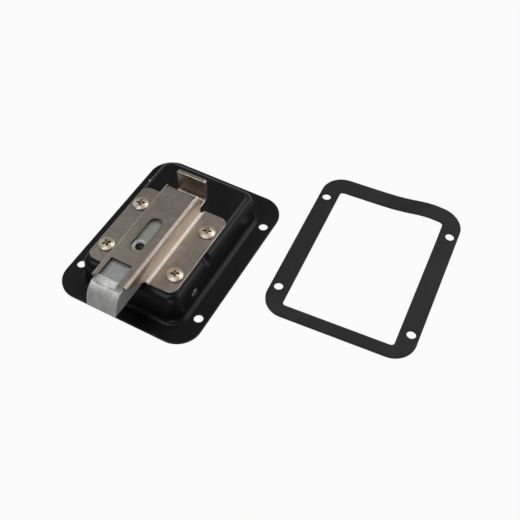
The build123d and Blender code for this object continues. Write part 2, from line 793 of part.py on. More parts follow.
# Rubber gasket of the flange, lying loose beside the latch as supplied
gasket_turned = math.radians(gasket_turn)
gasket_plane = Plane(
    origin=(gasket_x, gasket_y, 0),
    x_dir=(math.cos(gasket_turned), math.sin(gasket_turned), 0),
    z_dir=(0, 0, 1),
)
with BuildPart() as flange_gasket:
    with BuildSketch(gasket_plane):
        RectangleRounded(
            mount_spacing_x + 2 * gasket_margin_x,
            mount_spacing_y + 2 * gasket_margin_y,
            gasket_corner,
        )
        with Locations((0, pan_shift)):
            RectangleRounded(
                pan_width + 2 * gasket_window_gap,
                pan_length + 2 * gasket_window_gap,
                gasket_window_corner,
                mode=Mode.SUBTRACT,
            )
        with GridLocations(mount_spacing_x, mount_spacing_y, 2, 2):
            Circle(mount_hole / 2, mode=Mode.SUBTRACT)
    extrude(amount=gasket_thickness)

flange_gasket.part.label = "flange_gasket"

os.makedirs("parts", exist_ok=True)
for piece in (
    mounting_pan,
    guide_bracket,
    bracket_screws,
    lock_washers,
    bracket_nuts,
    slam_bolt,
    tail_plate,
    tail_rivets,
    bolt_spring,
    spring_guide_pin,
    paddle_tray,
    paddle_lever,
    lever_rivets,
    hinge_pin,
    pin_clip,
    paddle_spring,
    flange_gasket,
):
    export_step(piece.part, f"parts/{piece.part.label}.step")
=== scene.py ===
import json
import logging
import math
from dataclasses import dataclass
from enum import Enum
from typing import Any, Callable, Sequence

import bmesh
import bpy
from mathutils import Matrix, Vector
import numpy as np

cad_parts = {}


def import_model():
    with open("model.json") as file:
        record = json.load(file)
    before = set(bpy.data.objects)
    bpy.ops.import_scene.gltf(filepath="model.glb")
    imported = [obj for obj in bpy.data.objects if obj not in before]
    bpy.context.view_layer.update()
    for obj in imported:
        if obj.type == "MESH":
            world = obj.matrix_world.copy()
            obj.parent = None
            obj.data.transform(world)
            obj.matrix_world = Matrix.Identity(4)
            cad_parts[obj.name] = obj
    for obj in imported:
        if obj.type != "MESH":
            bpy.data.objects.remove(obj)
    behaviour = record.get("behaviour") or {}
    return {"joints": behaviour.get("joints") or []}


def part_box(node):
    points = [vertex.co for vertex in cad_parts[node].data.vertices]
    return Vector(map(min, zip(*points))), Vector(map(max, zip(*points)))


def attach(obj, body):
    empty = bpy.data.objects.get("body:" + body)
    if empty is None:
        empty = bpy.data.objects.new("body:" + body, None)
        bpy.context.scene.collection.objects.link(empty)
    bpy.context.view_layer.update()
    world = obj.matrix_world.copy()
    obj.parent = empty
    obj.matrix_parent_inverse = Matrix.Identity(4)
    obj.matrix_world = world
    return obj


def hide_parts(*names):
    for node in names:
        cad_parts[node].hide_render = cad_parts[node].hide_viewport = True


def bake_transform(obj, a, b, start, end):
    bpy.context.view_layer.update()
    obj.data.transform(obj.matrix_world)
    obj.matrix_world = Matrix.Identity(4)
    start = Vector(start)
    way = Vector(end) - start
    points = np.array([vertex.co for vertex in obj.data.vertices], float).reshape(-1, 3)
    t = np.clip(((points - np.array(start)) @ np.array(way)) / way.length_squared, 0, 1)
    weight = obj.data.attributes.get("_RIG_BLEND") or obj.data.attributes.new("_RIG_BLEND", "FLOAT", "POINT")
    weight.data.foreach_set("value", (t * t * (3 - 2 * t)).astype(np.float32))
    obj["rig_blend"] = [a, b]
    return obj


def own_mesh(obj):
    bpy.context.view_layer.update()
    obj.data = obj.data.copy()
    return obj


# Dresses the paddle latch: a black pan with a paddle, a nickel guide bracket, a cast slam bolt
# with a tail plate, their fasteners and springs, and a rubber gasket that lies beside the latch.
# Meshes are worked in millimetres and turned into metres when a piece is finished, and points
# that are less than TOUCH apart become one.

MM = 0.001
TOUCH = 0.001
WHITE = (1.0, 1.0, 1.0, 1.0)
EDGE = "edge"
# Name of the face mark that paints shade: where it is one, a surface is darkened to stand for shade.
PAINTED_SHADE = "painted_shade"
SHARP_ANGLE = math.radians(32)
FLAT_ANGLE = math.radians(0.4)
FLAT_WEIGHT = 70
LOG = logging.getLogger("paddle_latch")

Colour = tuple[float, float, float]
Point = tuple[float, float, float]
Span = tuple[float, float]
Value = "Signal | float | Sequence[float]"


class Signal:
    """A shader output that takes part in Python arithmetic."""

    def __init__(self, sheet: "Sheet", socket: bpy.types.NodeSocket | None) -> None:
        """Wraps an output socket of the sheet's node tree."""
        self.sheet = sheet
        self.socket = socket

    def math(self, operation: str, first: Value, second: Value = 0.0) -> "Signal":
        """Adds one Math node.

        Args:
            operation: The node's operation.
            first: The first operand.
            second: The second operand.

        Returns:
            The node's result.
        """
        return self.sheet.add("ShaderNodeMath", {"operation": operation}, {0: first, 1: second})

    def __add__(self, other: Value) -> "Signal":
        """Sum."""
        return self.math("ADD", self, other)

    def __radd__(self, other: Value) -> "Signal":
        """Sum, with the number on the left."""
        return self.math("ADD", other, self)

    def __sub__(self, other: Value) -> "Signal":
        """Difference."""
        return self.math("SUBTRACT", self, other)

    def __rsub__(self, other: Value) -> "Signal":
        """Difference, with the number on the left."""
        return self.math("SUBTRACT", other, self)

    def __mul__(self, other: Value) -> "Signal":
        """Product."""
        return self.math("MULTIPLY", self, other)

    def __rmul__(self, other: Value) -> "Signal":
        """Product, with the number on the left."""
        return self.math("MULTIPLY", other, self)

    def __truediv__(self, other: Value) -> "Signal":
        """Quotient."""
        return self.math("DIVIDE", self, other)

    def __pow__(self, other: Value) -> "Signal":
        """Power."""
        return self.math("POWER", self, other)

    def __abs__(self) -> "Signal":
        """Absolute value."""
        return self.math("ABSOLUTE", self)

    def __or__(self, other: Value) -> "Signal":
        """Larger of the two."""
        return self.math("MAXIMUM", self, other)


class Sheet:
    """The node tree of one material or world, with one method that adds any node."""

    def __init__(self, owner: bpy.types.Material | bpy.types.World) -> None:
        """Empties the node tree of a new material or world.

        Args:
            owner: The material or the world.
        """
        self.owner = owner
        owner.use_nodes = True
        self.tree = owner.node_tree
        self.tree.nodes.clear()

    def add(
        self,
        kind: str,
        settings: dict[str, object] | None = None,
        inputs: dict[int | str, Value] | None = None,
        output: int | str = 0,
    ) -> Signal:
        """Adds a node.

        Args:
            kind: The node's type.
            settings: Its properties, set before its inputs.
            inputs: The value or the linked signal of each socket.
            output: The output that is wanted.

        Returns:
            That output.
        """
        node = self.tree.nodes.new(kind)
        for key, value in (settings or {}).items():
            setattr(node, key, value)
        for key, value in (inputs or {}).items():
            if isinstance(value, Signal):
                self.tree.links.new(value.socket, node.inputs[key])
            else:
                node.inputs[key].default_value = value
        return Signal(self, node.outputs[output]) if node.outputs else Signal(self, None)

    def place(self) -> Signal:
        """Point on the piece, in the shared frame."""
        return self.add("ShaderNodeTexCoord", output="Object")

    def along(self, axis: str) -> Signal:
        """One coordinate of the point, in millimetres."""
        return self.add("ShaderNodeSeparateXYZ", inputs={0: self.place()}, output=axis) / MM

    def edge(self) -> Signal:
        """One on the rounded edges of a piece, and nought elsewhere."""
        return self.add("ShaderNodeAttribute", {"attribute_name": EDGE}, output="Fac")

    def painted_shade(self) -> Signal:
        """Painted shade: one on faces darkened to stand for shade, such as hollows, feet and some sides, and
        nought elsewhere.
        """
        return self.add("ShaderNodeAttribute", {"attribute_name": PAINTED_SHADE}, output="Fac")

    def noise(
        self, size: float, detail: float = 3.0, stretch: Point = (1.0, 1.0, 1.0), rough: float = 0.5
    ) -> Signal:
        """Cloudy noise.

        Args:
            size: Width of a patch, in millimetres.
            detail: Octaves.
            stretch: How much longer a patch is along each axis.
            rough: How strong the finer octaves are.

        Returns:
            A value about one half.
        """
        scale = tuple(1 / (size * MM * each) for each in stretch)
        where = self.add("ShaderNodeMapping", inputs={0: self.place(), "Scale": scale})
        inputs = {"Vector": where, "Scale": 1.0, "Detail": detail, "Roughness": rough}
        return self.add("ShaderNodeTexNoise", inputs=inputs)

    def specks(self, size: float, share: float) -> Signal:
        """Scattered round specks.

        Args:
            size: Spacing of the specks, in millimetres.
            share: Radius of a speck as a share of the spacing.

        Returns:
            One inside a speck.
        """
        inputs = {"Vector": self.place(), "Scale": 1 / (size * MM)}
        return self.fade(self.add("ShaderNodeTexVoronoi", inputs=inputs), (share, share / 2))

    def fade(self, signal: Signal, span: Span) -> Signal:
        """Smooth step from nought at the span's first value to one at its second.

        Args:
            signal: What is measured.
            span: The two values, in rising or falling order.

        Returns:
            A value from nought to one.
        """
        start, end = span
        if start > end:
            return 1 - self.fade(signal, (end, start))
        settings = {"interpolation_type": "SMOOTHSTEP"}
        return self.add("ShaderNodeMapRange", settings, {"Value": signal, 1: start, 2: end})

    def mix(self, share: Value, first: Value, second: Value) -> Signal:
        """Colour between two colours, by share of the second.

        Args:
            share: Share of the second.
            first: One colour.
            second: The other colour.

        Returns:
            The mixed colour.
        """
        settings = {"data_type": "RGBA"}
        ends = [end if isinstance(end, Signal) else (*end, 1.0) for end in (first, second)]
        return self.add("ShaderNodeMix", settings, {0: share, 6: ends[0], 7: ends[1]}, 2)

    def over(self, colour: Value, layer: Value, signal: Signal, span: Span, share: float) -> Signal:
        """Lays a second colour over the first where a pattern shows it.

        Args:
            colour: The colour below.
            layer: The colour above.
            signal: The pattern.
            span: Values of the pattern at which the layer starts and is full.
            share: How much the full layer covers.

        Returns:
            The mixed colour.
        """
        return self.mix(self.fade(signal, span) * share, colour, layer)

    def bump(self, height: Signal, depth: float, normal: Signal | None = None) -> Signal:
        """Relief of a height between 0 and 1 that is so many millimetres deep.

        Args:
            height: The relief.
            depth: How deep it is, in millimetres.
            normal: A finer relief that it is added to.

        Returns:
            The surface's normal.
        """
        inputs = {"Height": height, "Distance": depth * MM, "Strength": 1.0}
        if normal is not None:
            inputs["Normal"] = normal
        return self.add("ShaderNodeBump", inputs=inputs)

    def surface(self, inputs: dict[str, Value]) -> bpy.types.Material:
        """Closes the material with a Principled shader.

        Args:
            inputs: The shader's sockets.

        Returns:
            The finished material.
        """
        shader = self.add("ShaderNodeBsdfPrincipled", inputs=inputs)
        self.add("ShaderNodeOutputMaterial", inputs={"Surface": shader})
        return self.owner


@dataclass(frozen=True)
class Finish:
    """A finish of the latch, made once and shared by the pieces that have it."""

    name: str
    slot: str

    def material(self) -> bpy.types.Material:
        """The Blender material, made at its first use."""
        made = bpy.data.materials.get(self.name)
        return made or self.make(Sheet(bpy.data.materials.new(self.name)))

    def make(self, sheet: Sheet) -> bpy.types.Material:
        """Lays the finish out on a sheet.

        Args:
            sheet: The node tree of the new material.

        Returns:
            The material.
        """
        raise NotImplementedError


@dataclass(frozen=True)
class SatinCoating(Finish):
    """Black powder coat: satin, faintly cloudy, with a fine orange peel and thin edges."""

    colour: Colour = (0.0022, 0.0022, 0.0024)
    cloud: Colour = (0.0048, 0.0048, 0.0052)
    cloud_size: float = 14.0
    cloud_span: Span = (0.35, 0.7)
    # Colour of the rubbed, worn edges of the coat.
    wear_and_highlight: Colour = (0.05, 0.049, 0.048)
    rub_size: float = 5.0
    rub_span: Span = (0.42, 0.62)
    rub: float = 0.8
    shine: float = 0.26
    roughness: float = 0.31
    cloud_roughness: float = 0.1
    edge_gloss: float = 0.05
    peel_size: float = 0.9
    peel_depth: float = 0.006

    def make(self, sheet: Sheet) -> bpy.types.Material:
        """Lays the finish out on a sheet.

        Args:
            sheet: The node tree of the new material.

        Returns:
            The material.
        """
        cloud = sheet.noise(self.cloud_size, detail=4.0)
        peel = sheet.noise(self.peel_size, detail=2.0)
        wear = sheet.edge() * sheet.fade(sheet.noise(self.rub_size, detail=5.0), self.rub_span)
        colour = sheet.mix(sheet.fade(cloud, self.cloud_span), self.colour, self.cloud)
        roughness = self.roughness + cloud * self.cloud_roughness
        return sheet.surface(
            {
                "Base Color": sheet.mix(wear * self.rub, colour, self.wear_and_highlight),
                "Roughness": roughness - sheet.edge() * self.edge_gloss,
                "Specular IOR Level": self.shine,
                "Normal": sheet.bump(peel, self.peel_depth),
            }
        )


@dataclass(frozen=True)
class PlatedSteel(Finish):
    """Plating on steel: warm or cool, clouded and finely grained, with a painted highlight on its rounded
    edges and painted shade where marked.
    """

    colour: Colour = (0.43, 0.37, 0.325)
    cloud: Colour = (0.32, 0.275, 0.24)
    # Colour of the bright flecks, and of the painted highlight on rounded edges.
    fleck_and_highlight: Colour = (0.66, 0.60, 0.56)
    tarnish: Colour = (0.29, 0.275, 0.23)
    # Near-black colour of the painted shade.
    shade_colour: Colour = (0.020, 0.013, 0.008)
    cloud_size: float = 16.0
    cloud_share: float = 0.4
    cloud_span: Span = (0.42, 0.58)
    mottle_size: float = 1.9
    fleck_span: Span = (0.54, 0.66)
    fleck: float = 0.35
    patch_ratio: float = 2.1
    patch_span: Span = (0.5, 0.66)
    patch: float = 0.5
    grain_size: float = 0.6
    pit_span: Span = (0.48, 0.3)
    spark_span: Span = (0.52, 0.75)
    grain: float = 0.45
    grain_depth: float = 0.004
    mottle_depth_ratio: float = 2.0
    roughness: float = 0.30
    roughness_spread: float = 0.1
    # Share of that colour on rounded edges: a painted highlight.
    edge_highlight: float = 0.75
    edge_gloss: float = 0.08

    def tint(self, sheet: Sheet, colour: Signal) -> Signal:
        """What a particular piece adds to the colour."""
        return colour

    def metal(self, sheet: Sheet) -> Value:
        """How metallic the surface is."""
        return 1.0

    def make(self, sheet: Sheet) -> bpy.types.Material:
        """Lays the finish out on a sheet.

        Args:
            sheet: The node tree of the new material.

        Returns:
            The material.
        """
        cloud = sheet.noise(self.cloud_size, detail=5.0, rough=0.6)
        mottle = sheet.noise(self.mottle_size, detail=4.0, rough=0.65)
        patch = sheet.noise(self.mottle_size * self.patch_ratio, detail=4.0, rough=0.6)
        grain = sheet.noise(self.grain_size)
        mist = cloud * self.cloud_share + mottle * (1 - self.cloud_share)
        colour = sheet.mix(sheet.fade(mist, self.cloud_span), self.colour, self.cloud)
        colour = sheet.over(colour, self.fleck_and_highlight, mottle, self.fleck_span, self.fleck)
        colour = sheet.over(colour, self.tarnish, patch, self.patch_span, self.patch)
        colour = sheet.over(colour, self.tarnish, grain, self.pit_span, self.grain)
        colour = sheet.over(colour, self.fleck_and_highlight, grain, self.spark_span, self.grain)
        # Painted highlight: rounded edges are pulled towards the bright colour.
        colour = sheet.mix(sheet.edge() * self.edge_highlight, self.tint(sheet, colour), self.fleck_and_highlight)
        roughness = self.roughness + grain * self.roughness_spread + mottle * self.roughness_spread
        fine = sheet.bump(grain, self.grain_depth)
        # Painted shade: where a piece marks its faces as shaded, the colour turns to the near-black shade
        # colour.
        return sheet.surface(
            {
                "Base Color": sheet.mix(sheet.painted_shade(), colour, self.shade_colour),
                "Metallic": self.metal(sheet),
                "Roughness": roughness - sheet.edge() * self.edge_gloss,
                "Normal": sheet.bump(mottle, self.grain_depth * self.mottle_depth_ratio, fine),
            }
        )


@dataclass(frozen=True)
class BracketPlate(PlatedSteel):
    """The bracket's nickel plate: draw marks and painted shade on the channel's walls, a painted highlight
    on their foot bends, and a stain at the slot.
    """

    wall_across: Span = (11.1, 11.4)
    wall_root: Span = (24.2, 25.6)
    wall_crown: Span = (36.5, 35.5)
    foot_inner: Span = (11.1, 11.9)
    foot_outer: Span = (13.9, 13.2)
    foot_crown: Span = (25.6, 24.6)
    scuff: float = 0.7
    drawn: Colour = (0.77, 0.615, 0.475)
    # Dark colour of the draw marks, of the painted shade towards the top, and of the darkening towards the
    # near end.
    streak_and_shade: Colour = (0.17, 0.12, 0.085)
    streak_and_shade_span: Span = (0.4, 1.0)
    # Painted shade: the walls darken towards the top over this span of heights.
    top_shade_span: Span = (27.2, 36.5)
    top_shade_share: float = 0.2
    nose_span: Span = (-36.0, -58.0)
    nose_share: float = 0.4
    mark_size: float = 0.9
    mark_stretch: Point = (1.0, 2.2, 1.0)
    mark_span: Span = (0.34, 0.66)
    mark_share: float = 0.2
    blotch_size: float = 4.0
    blotch_stretch: Point = (1.0, 3.0, 1.0)
    blotch_share: float = 0.62
    # Colour of the painted highlight on the feet of the walls.
    wear_and_highlight: Colour = (0.95, 0.86, 0.80)
    highlight_gaps: float = 0.4
    stain: Colour = (0.25, 0.235, 0.15)
    stain_size: float = 3.0
    stain_span: Span = (0.38, 0.6)
    stain_share: float = 0.7
    stain_ring: Span = (6.6, 4.0)
    slot_x: float = 0.1
    slot_near: float = -33.7
    slot_far: float = -15.7

    def wall(self, sheet: Sheet) -> Signal:
        """One on the outside of the channel's walls, and nought elsewhere.

        Args:
            sheet: The node tree of the material.

        Returns:
            The mask.
        """
        height = sheet.along("Z")
        wall = sheet.fade(abs(sheet.along("X")), self.wall_across)
        return wall * sheet.fade(height, self.wall_root) * sheet.fade(height, self.wall_crown)

    def foot(self, sheet: Sheet) -> Signal:
        """One on the bends at the feet of the channel's walls, and nought elsewhere.

        Args:
            sheet: The node tree of the material.

        Returns:
            The mask.
        """
        across = abs(sheet.along("X"))
        foot = sheet.fade(across, self.foot_inner) * sheet.fade(across, self.foot_outer)
        return foot * sheet.fade(sheet.along("Z"), self.foot_crown)

    def metal(self, sheet: Sheet) -> Signal:
        """The drawn walls and their feet are scuffed, which scatters their light."""
        return 1 - (self.wall(sheet) | self.foot(sheet)) * self.scuff

    def tint(self, sheet: Sheet, colour: Signal) -> Signal:
        """Draw marks along the walls, painted shade towards their top and darkening towards the near end, a
        painted highlight on the foot bends, and a greenish stain round the slot.

        Args:
            sheet: The node tree of the material.
            colour: The plate's own colour.

        Returns:
            The marked and stained colour.
        """
        across, length, height = (sheet.along(axis) for axis in "XYZ")
        upper = sheet.fade(height, self.top_shade_span)
        near = sheet.fade(length, self.nose_span)
        marks = sheet.noise(self.mark_size, detail=5.0, stretch=self.mark_stretch, rough=0.7)
        marks = sheet.fade(marks, self.mark_span)
        blotch = sheet.noise(self.blotch_size, detail=4.0, stretch=self.blotch_stretch, rough=0.6)
        # The walls darken towards the top (painted shade), towards the near end, and along the draw marks
        # and blotches.
        dark = upper * self.top_shade_share + near * self.nose_share + marks * self.mark_share
        dark = sheet.fade(dark + blotch * self.blotch_share, self.streak_and_shade_span)
        colour = sheet.mix(self.wall(sheet), colour, sheet.mix(dark, self.drawn, self.streak_and_shade))
        # Painted highlight: the foot bends of the walls are brightened, with gaps along the draw marks.
        wear_and_highlight = self.foot(sheet) * (1 - marks * self.highlight_gaps)
        colour = sheet.mix(wear_and_highlight, colour, self.wear_and_highlight)
        beyond = (self.slot_near - length) | (length - self.slot_far) | 0.0
        reach = ((across - self.slot_x) ** 2.0 + beyond**2.0) ** 0.5
        patchy = sheet.fade(sheet.noise(self.stain_size), self.stain_span)
        ring = sheet.fade(reach, self.stain_ring)
        return sheet.mix(ring * patchy * self.stain_share, colour, self.stain)


@dataclass(frozen=True)
class CastZinc(Finish):
    """Tumbled die casting: rough and pale, with a fine grit, corners brightened by burnish and a painted
    highlight, and painted shade where marked.
    """

    colour: Colour = (0.69, 0.69, 0.655)
    dark: Colour = (0.49, 0.495, 0.475)
    # Colour of the bright flecks, and of the painted highlight on rounded corners.
    fleck_and_highlight: Colour = (0.92, 0.91, 0.87)
    # Near-black colour of the painted shade.
    shade_colour: Colour = (0.006, 0.006, 0.006)
    metallic: float = 0.6
    cloud_size: float = 4.5
    cloud_share: float = 0.4
    cloud_span: Span = (0.42, 0.58)
    fleck_span: Span = (0.56, 0.72)
    fleck: float = 0.5
    relief_size: float = 0.8
    relief: float = 0.03
    roughness: float = 0.44
    grit_roughness: float = 0.16
    # Share of that colour on rounded corners: burnish and a painted highlight.
    edge_highlight: float = 0.5
    edge_gloss: float = 0.06

    def tint(self, sheet: Sheet, colour: Signal) -> Signal:
        """What a particular face adds to the colour."""
        return colour

    def make(self, sheet: Sheet) -> bpy.types.Material:
        """Lays the finish out on a sheet.

        Args:
            sheet: The node tree of the new material.

        Returns:
            The material.
        """
        cloud = sheet.noise(self.cloud_size, detail=5.0, rough=0.6)
        grit = sheet.noise(self.relief_size, detail=4.0, rough=0.7)
        mist = cloud * self.cloud_share + grit * (1 - self.cloud_share)
        colour = sheet.mix(sheet.fade(mist, self.cloud_span), self.dark, self.colour)
        colour = sheet.over(colour, self.fleck_and_highlight, grit, self.fleck_span, self.fleck)
        # Rounded corners brighten: burnish from tumbling, and a painted highlight.
        colour = sheet.mix(sheet.edge() * self.edge_highlight, self.tint(sheet, colour), self.fleck_and_highlight)
        roughness = self.roughness + grit * self.grit_roughness
        # Painted shade: where a piece marks its faces as shaded, the colour turns to the near-black shade
        # colour.
        return sheet.surface(
            {
                "Base Color": sheet.mix(sheet.painted_shade(), colour, self.shade_colour),
                "Metallic": self.metallic,
                "Roughness": roughness - sheet.edge() * self.edge_gloss,
                "Normal": sheet.bump(grit, self.relief),
            }
        )


@dataclass(frozen=True)
class SlideFace(CastZinc):
    """The casting's flat top, ground by the bracket: bluish under the notch, oily under the slot."""

    oiled: Colour = (0.45, 0.455, 0.355)
    oil_span: Span = (-45.0, -40.0)
    film_share: float = 0.25
    patch_size: float = 3.0
    patch_span: Span = (0.42, 0.62)
    patch_share: float = 0.4
    patch_share_in_film: float = 0.3

    def tint(self, sheet: Sheet, colour: Signal) -> Signal:
        """A greenish film of oil beyond the notch, and in patches in it.

        Args:
            sheet: The node tree of the material.
            colour: The ground metal's own colour.

        Returns:
            The oiled colour.
        """
        film = sheet.fade(sheet.along("Y"), self.oil_span)
        patch = sheet.noise(self.patch_size, detail=4.0, rough=0.6)
        cover = film * self.patch_share_in_film + self.patch_share
        patch = sheet.fade(patch, self.patch_span) * cover
        return sheet.mix(film * self.film_share + patch, colour, self.oiled)


@dataclass(frozen=True)
class SheetRubber(Finish):
    """Black sheet rubber: matt, with a calendered grain, a film of dust and a few crumbs."""

    colour: Colour = (0.0080, 0.0080, 0.0088)
    dust: Colour = (0.019, 0.020, 0.0225)
    film_size: float = 26.0
    film_span: Span = (0.42, 0.72)
    film_share: float = 0.7
    grain_size: float = 0.5
    grain_span: Span = (0.6, 0.8)
    grain_share: float = 0.2
    grain_depth: float = 0.008
    crumb: Colour = (0.25, 0.25, 0.24)
    crumb_spacing: float = 9.0
    crumb_radius: float = 0.03
    crumb_field: float = 30.0
    crumb_span: Span = (0.55, 0.62)
    shine: float = 0.38
    roughness: float = 0.55
    roughness_spread: float = 0.12

    def make(self, sheet: Sheet) -> bpy.types.Material:
        """Lays the finish out on a sheet.

        Args:
            sheet: The node tree of the new material.

        Returns:
            The material.
        """
        film = sheet.fade(sheet.noise(self.film_size, detail=5.0), self.film_span)
        grain = sheet.noise(self.grain_size)
        dust = film * self.film_share + sheet.fade(grain, self.grain_span) * self.grain_share
        crumbs = sheet.fade(sheet.noise(self.crumb_field, detail=1.0), self.crumb_span)
        crumbs = sheet.specks(self.crumb_spacing, self.crumb_radius) * crumbs
        return sheet.surface(
            {
                "Base Color": sheet.mix(crumbs, sheet.mix(dust, self.colour, self.dust), self.crumb),
                "Roughness": self.roughness + grain * self.roughness_spread,
                "Specular IOR Level": self.shine,
                "Normal": sheet.bump(grain, self.grain_depth),
            }
        )


class Dress(Enum):
    """The latch's finishes."""

    COATING = SatinCoating("black_powder_coat", "black_coating")
    BRACKET = BracketPlate("bracket_nickel_plate", "nickel_plating")
    TAIL = PlatedSteel(
        "tail_nickel_plate",
        "nickel_plating",
        colour=(0.39, 0.335, 0.29),
        cloud=(0.28, 0.24, 0.205),
        fleck_and_highlight=(0.80, 0.74, 0.69),
    )
    CAST = CastZinc("cast_zinc", "zinc_casting")
    TRACK = SlideFace(
        "zinc_slide_face",
        "zinc_casting",
        colour=(0.55, 0.57, 0.595),
        dark=(0.44, 0.46, 0.48),
        fleck_and_highlight=(0.70, 0.72, 0.74),
        metallic=0.9,
        roughness=0.36,
        relief=0.006,
        relief_size=0.5,
    )
    FASTENER = PlatedSteel(
        "yellow_nickel_fastener",
        "plated_fastener",
        colour=(0.78, 0.67, 0.535),
        cloud=(0.66, 0.565, 0.45),
        fleck_and_highlight=(0.84, 0.77, 0.68),
        roughness=0.33,
        grain_depth=0.002,
        mottle_size=0.9,
    )
    PIN = PlatedSteel(
        "dulled_pin_plate",
        "plated_fastener",
        colour=(0.17, 0.145, 0.125),
        cloud=(0.11, 0.092, 0.08),
        fleck_and_highlight=(0.50, 0.48, 0.46),
    )
    ZINC = PlatedSteel(
        "zinc_plated_lever",
        "zinc_plated_steel",
        colour=(0.50, 0.50, 0.50),
        cloud=(0.42, 0.425, 0.43),
        fleck_and_highlight=(0.72, 0.72, 0.72),
    )
    DARK = PlatedSteel(
        "blackened_clip",
        "blackened_steel",
        colour=(0.07, 0.07, 0.072),
        cloud=(0.05, 0.05, 0.052),
        fleck_and_highlight=(0.22, 0.21, 0.20),
    )
    WIRE = PlatedSteel(
        "oiled_spring_wire",
        "spring_wire",
        colour=(0.30, 0.30, 0.305),
        cloud=(0.22, 0.22, 0.225),
        fleck_and_highlight=(0.45, 0.45, 0.45),
        roughness=0.26,
        grain_depth=0.001,
    )
    RUBBER = SheetRubber("black_sheet_rubber", "black_rubber")


class Body(Enum):
    """The latch's moving bodies."""

    HOUSING = "housing"
    PADDLE = "paddle"
    BOLT = "bolt"


def merged_copy(node: str) -> bmesh.types.BMesh:
    """Copies a CAD node's mesh, joins its triangles and clears the flat ones.

    Args:
        node: The node's name.

    Returns:
        The copy, in millimetres.
    """
    solid = bmesh.new()
    solid.from_mesh(bpy.data.objects[node].data)
    bmesh.ops.scale(solid, vec=(1 / MM, 1 / MM, 1 / MM), verts=solid.verts)
    bmesh.ops.remove_doubles(solid, verts=solid.verts, dist=TOUCH)
    bmesh.ops.dissolve_limit(
        solid,
        angle_limit=FLAT_ANGLE,
        use_dissolve_boundaries=False,
        verts=solid.verts,
        edges=solid.edges,
    )
    return solid


def soften(
    solid: bmesh.types.BMesh,
    radius: float,
    segments: int = 2,
    wanted: Callable[[bmesh.types.BMEdge], bool] = lambda edge: True,
    clamp: bool = True,
) -> None:
    """Rounds a mesh's outward corners and marks the rounded faces.

    Args:
        solid: The mesh, in millimetres.
        radius: How far the round reaches from the corner.
        segments: Faces across a round.
        wanted: Which of the sharp edges are rounded.
        clamp: Whether the radius shrinks until no round meets another, anywhere on the mesh.
    """
    layer = solid.faces.layers.float.get(EDGE) or solid.faces.layers.float.new(EDGE)
    outward = [edge for edge in solid.edges if edge.is_manifold and edge.is_convex]
    sharp = [edge for edge in outward if edge.calc_face_angle() > SHARP_ANGLE and wanted(edge)]
    rounded = bmesh.ops.bevel(
        solid,
        geom=sharp,
        offset=radius,
        offset_type="OFFSET",
        segments=segments,
        profile=0.5,
        affect="EDGES",
        clamp_overlap=clamp,
        material=-1,
    )
    for face in rounded["faces"]:
        face[layer] = 1.0


def turned(outline: Sequence[Span], steps: int) -> bmesh.types.BMesh:
    """Turns an outline about Z.

    Args:
        outline: Radius and height of each corner, from the axis at the top to the axis at the bottom.
        steps: Faces round the piece.

    Returns:
        The closed solid.
    """
    solid = bmesh.new()
    corners = [solid.verts.new((radius, 0, height)) for radius, height in outline]
    edges = [solid.edges.new(pair) for pair in zip(corners, corners[1:])]
    bmesh.ops.spin(
        solid,
        geom=corners + edges,
        cent=(0, 0, 0),
        axis=(0, 0, 1),
        dvec=(0, 0, 0),
        angle=math.tau,
        steps=steps,
        use_merge=True,
        use_normal_flip=False,
        use_duplicate=False,
    )
    bmesh.ops.remove_doubles(solid, verts=solid.verts, dist=TOUCH)
    bmesh.ops.recalc_face_normals(solid, faces=solid.faces)
    return solid


def arc(centre: Span, radius: float, first: float, last: float, steps: int) -> list[Span]:
    """Points of an arc, from one angle in degrees to another."""
    angles = [math.radians(first + (last - first) * step / steps) for step in range(steps + 1)]
    return [(centre[0] + radius * math.cos(a), centre[1] + radius * math.sin(a)) for a in angles]


def helical(section: Sequence[Span], pitch: float, turns: float, steps: int) -> bmesh.types.BMesh:
    """Winds a closed section round Z with a steady climb.

    Args:
        section: Radius and height of each corner of the section.
        pitch: Climb of one turn.
        turns: How many turns.
        steps: Faces along one turn.

    Returns:
        The closed solid, with a cap at each end.
    """
    solid = bmesh.new()
    first = [solid.verts.new((radius, 0, height)) for radius, height in section]
    bmesh.ops.spin(
        solid,
        geom=[solid.faces.new(first)],
        cent=(0, 0, 0),
        axis=(0, 0, 1),
        dvec=(0, 0, pitch / steps),
        angle=math.tau * turns,
        steps=round(turns * steps),
        use_merge=False,
        use_normal_flip=False,
        use_duplicate=False,
    )
    bmesh.ops.recalc_face_normals(solid, faces=solid.faces)
    return solid


def about_z(degrees: float) -> Matrix:
    """A turn about the Z axis."""
    return Matrix.Rotation(math.radians(degrees), 4, "Z")


def cone(lower: float, upper: float, height: float, sides: int) -> bmesh.types.BMesh:
    """A closed cone or prism round the Z axis, with its middle at the origin.

    Args:
        lower: Radius of its lower end.
        upper: Radius of its upper end.
        height: Height.
        sides: Number of sides.

    Returns:
        The solid.
    """
    solid = bmesh.new()
    bmesh.ops.create_cone(
        solid, cap_ends=True, segments=sides, radius1=lower, radius2=upper, depth=height
    )
    return solid


def moved(solid: bmesh.types.BMesh, place: Matrix) -> bmesh.types.BMesh:
    """Moves a mesh and hands it back."""
    bmesh.ops.transform(solid, matrix=place, verts=solid.verts)
    return solid


def as_mesh(name: str, solid: bmesh.types.BMesh) -> bpy.types.Mesh:
    """Makes a mesh of a bmesh and frees that.

    Args:
        name: The mesh's name.
        solid: The bmesh.

    Returns:
        The mesh.
    """
    mesh = bpy.data.meshes.new(name)
    solid.to_mesh(mesh)
    solid.free()
    return mesh


def shown(name: str, data: bpy.types.ID) -> bpy.types.Object:
    """Puts a mesh, a curve, a lamp or a camera into the scene.

    Args:
        name: The object's name.
        data: What the object shows.

    Returns:
        The object.
    """
    made = bpy.data.objects.new(name, data)
    bpy.context.scene.collection.objects.link(made)
    return made


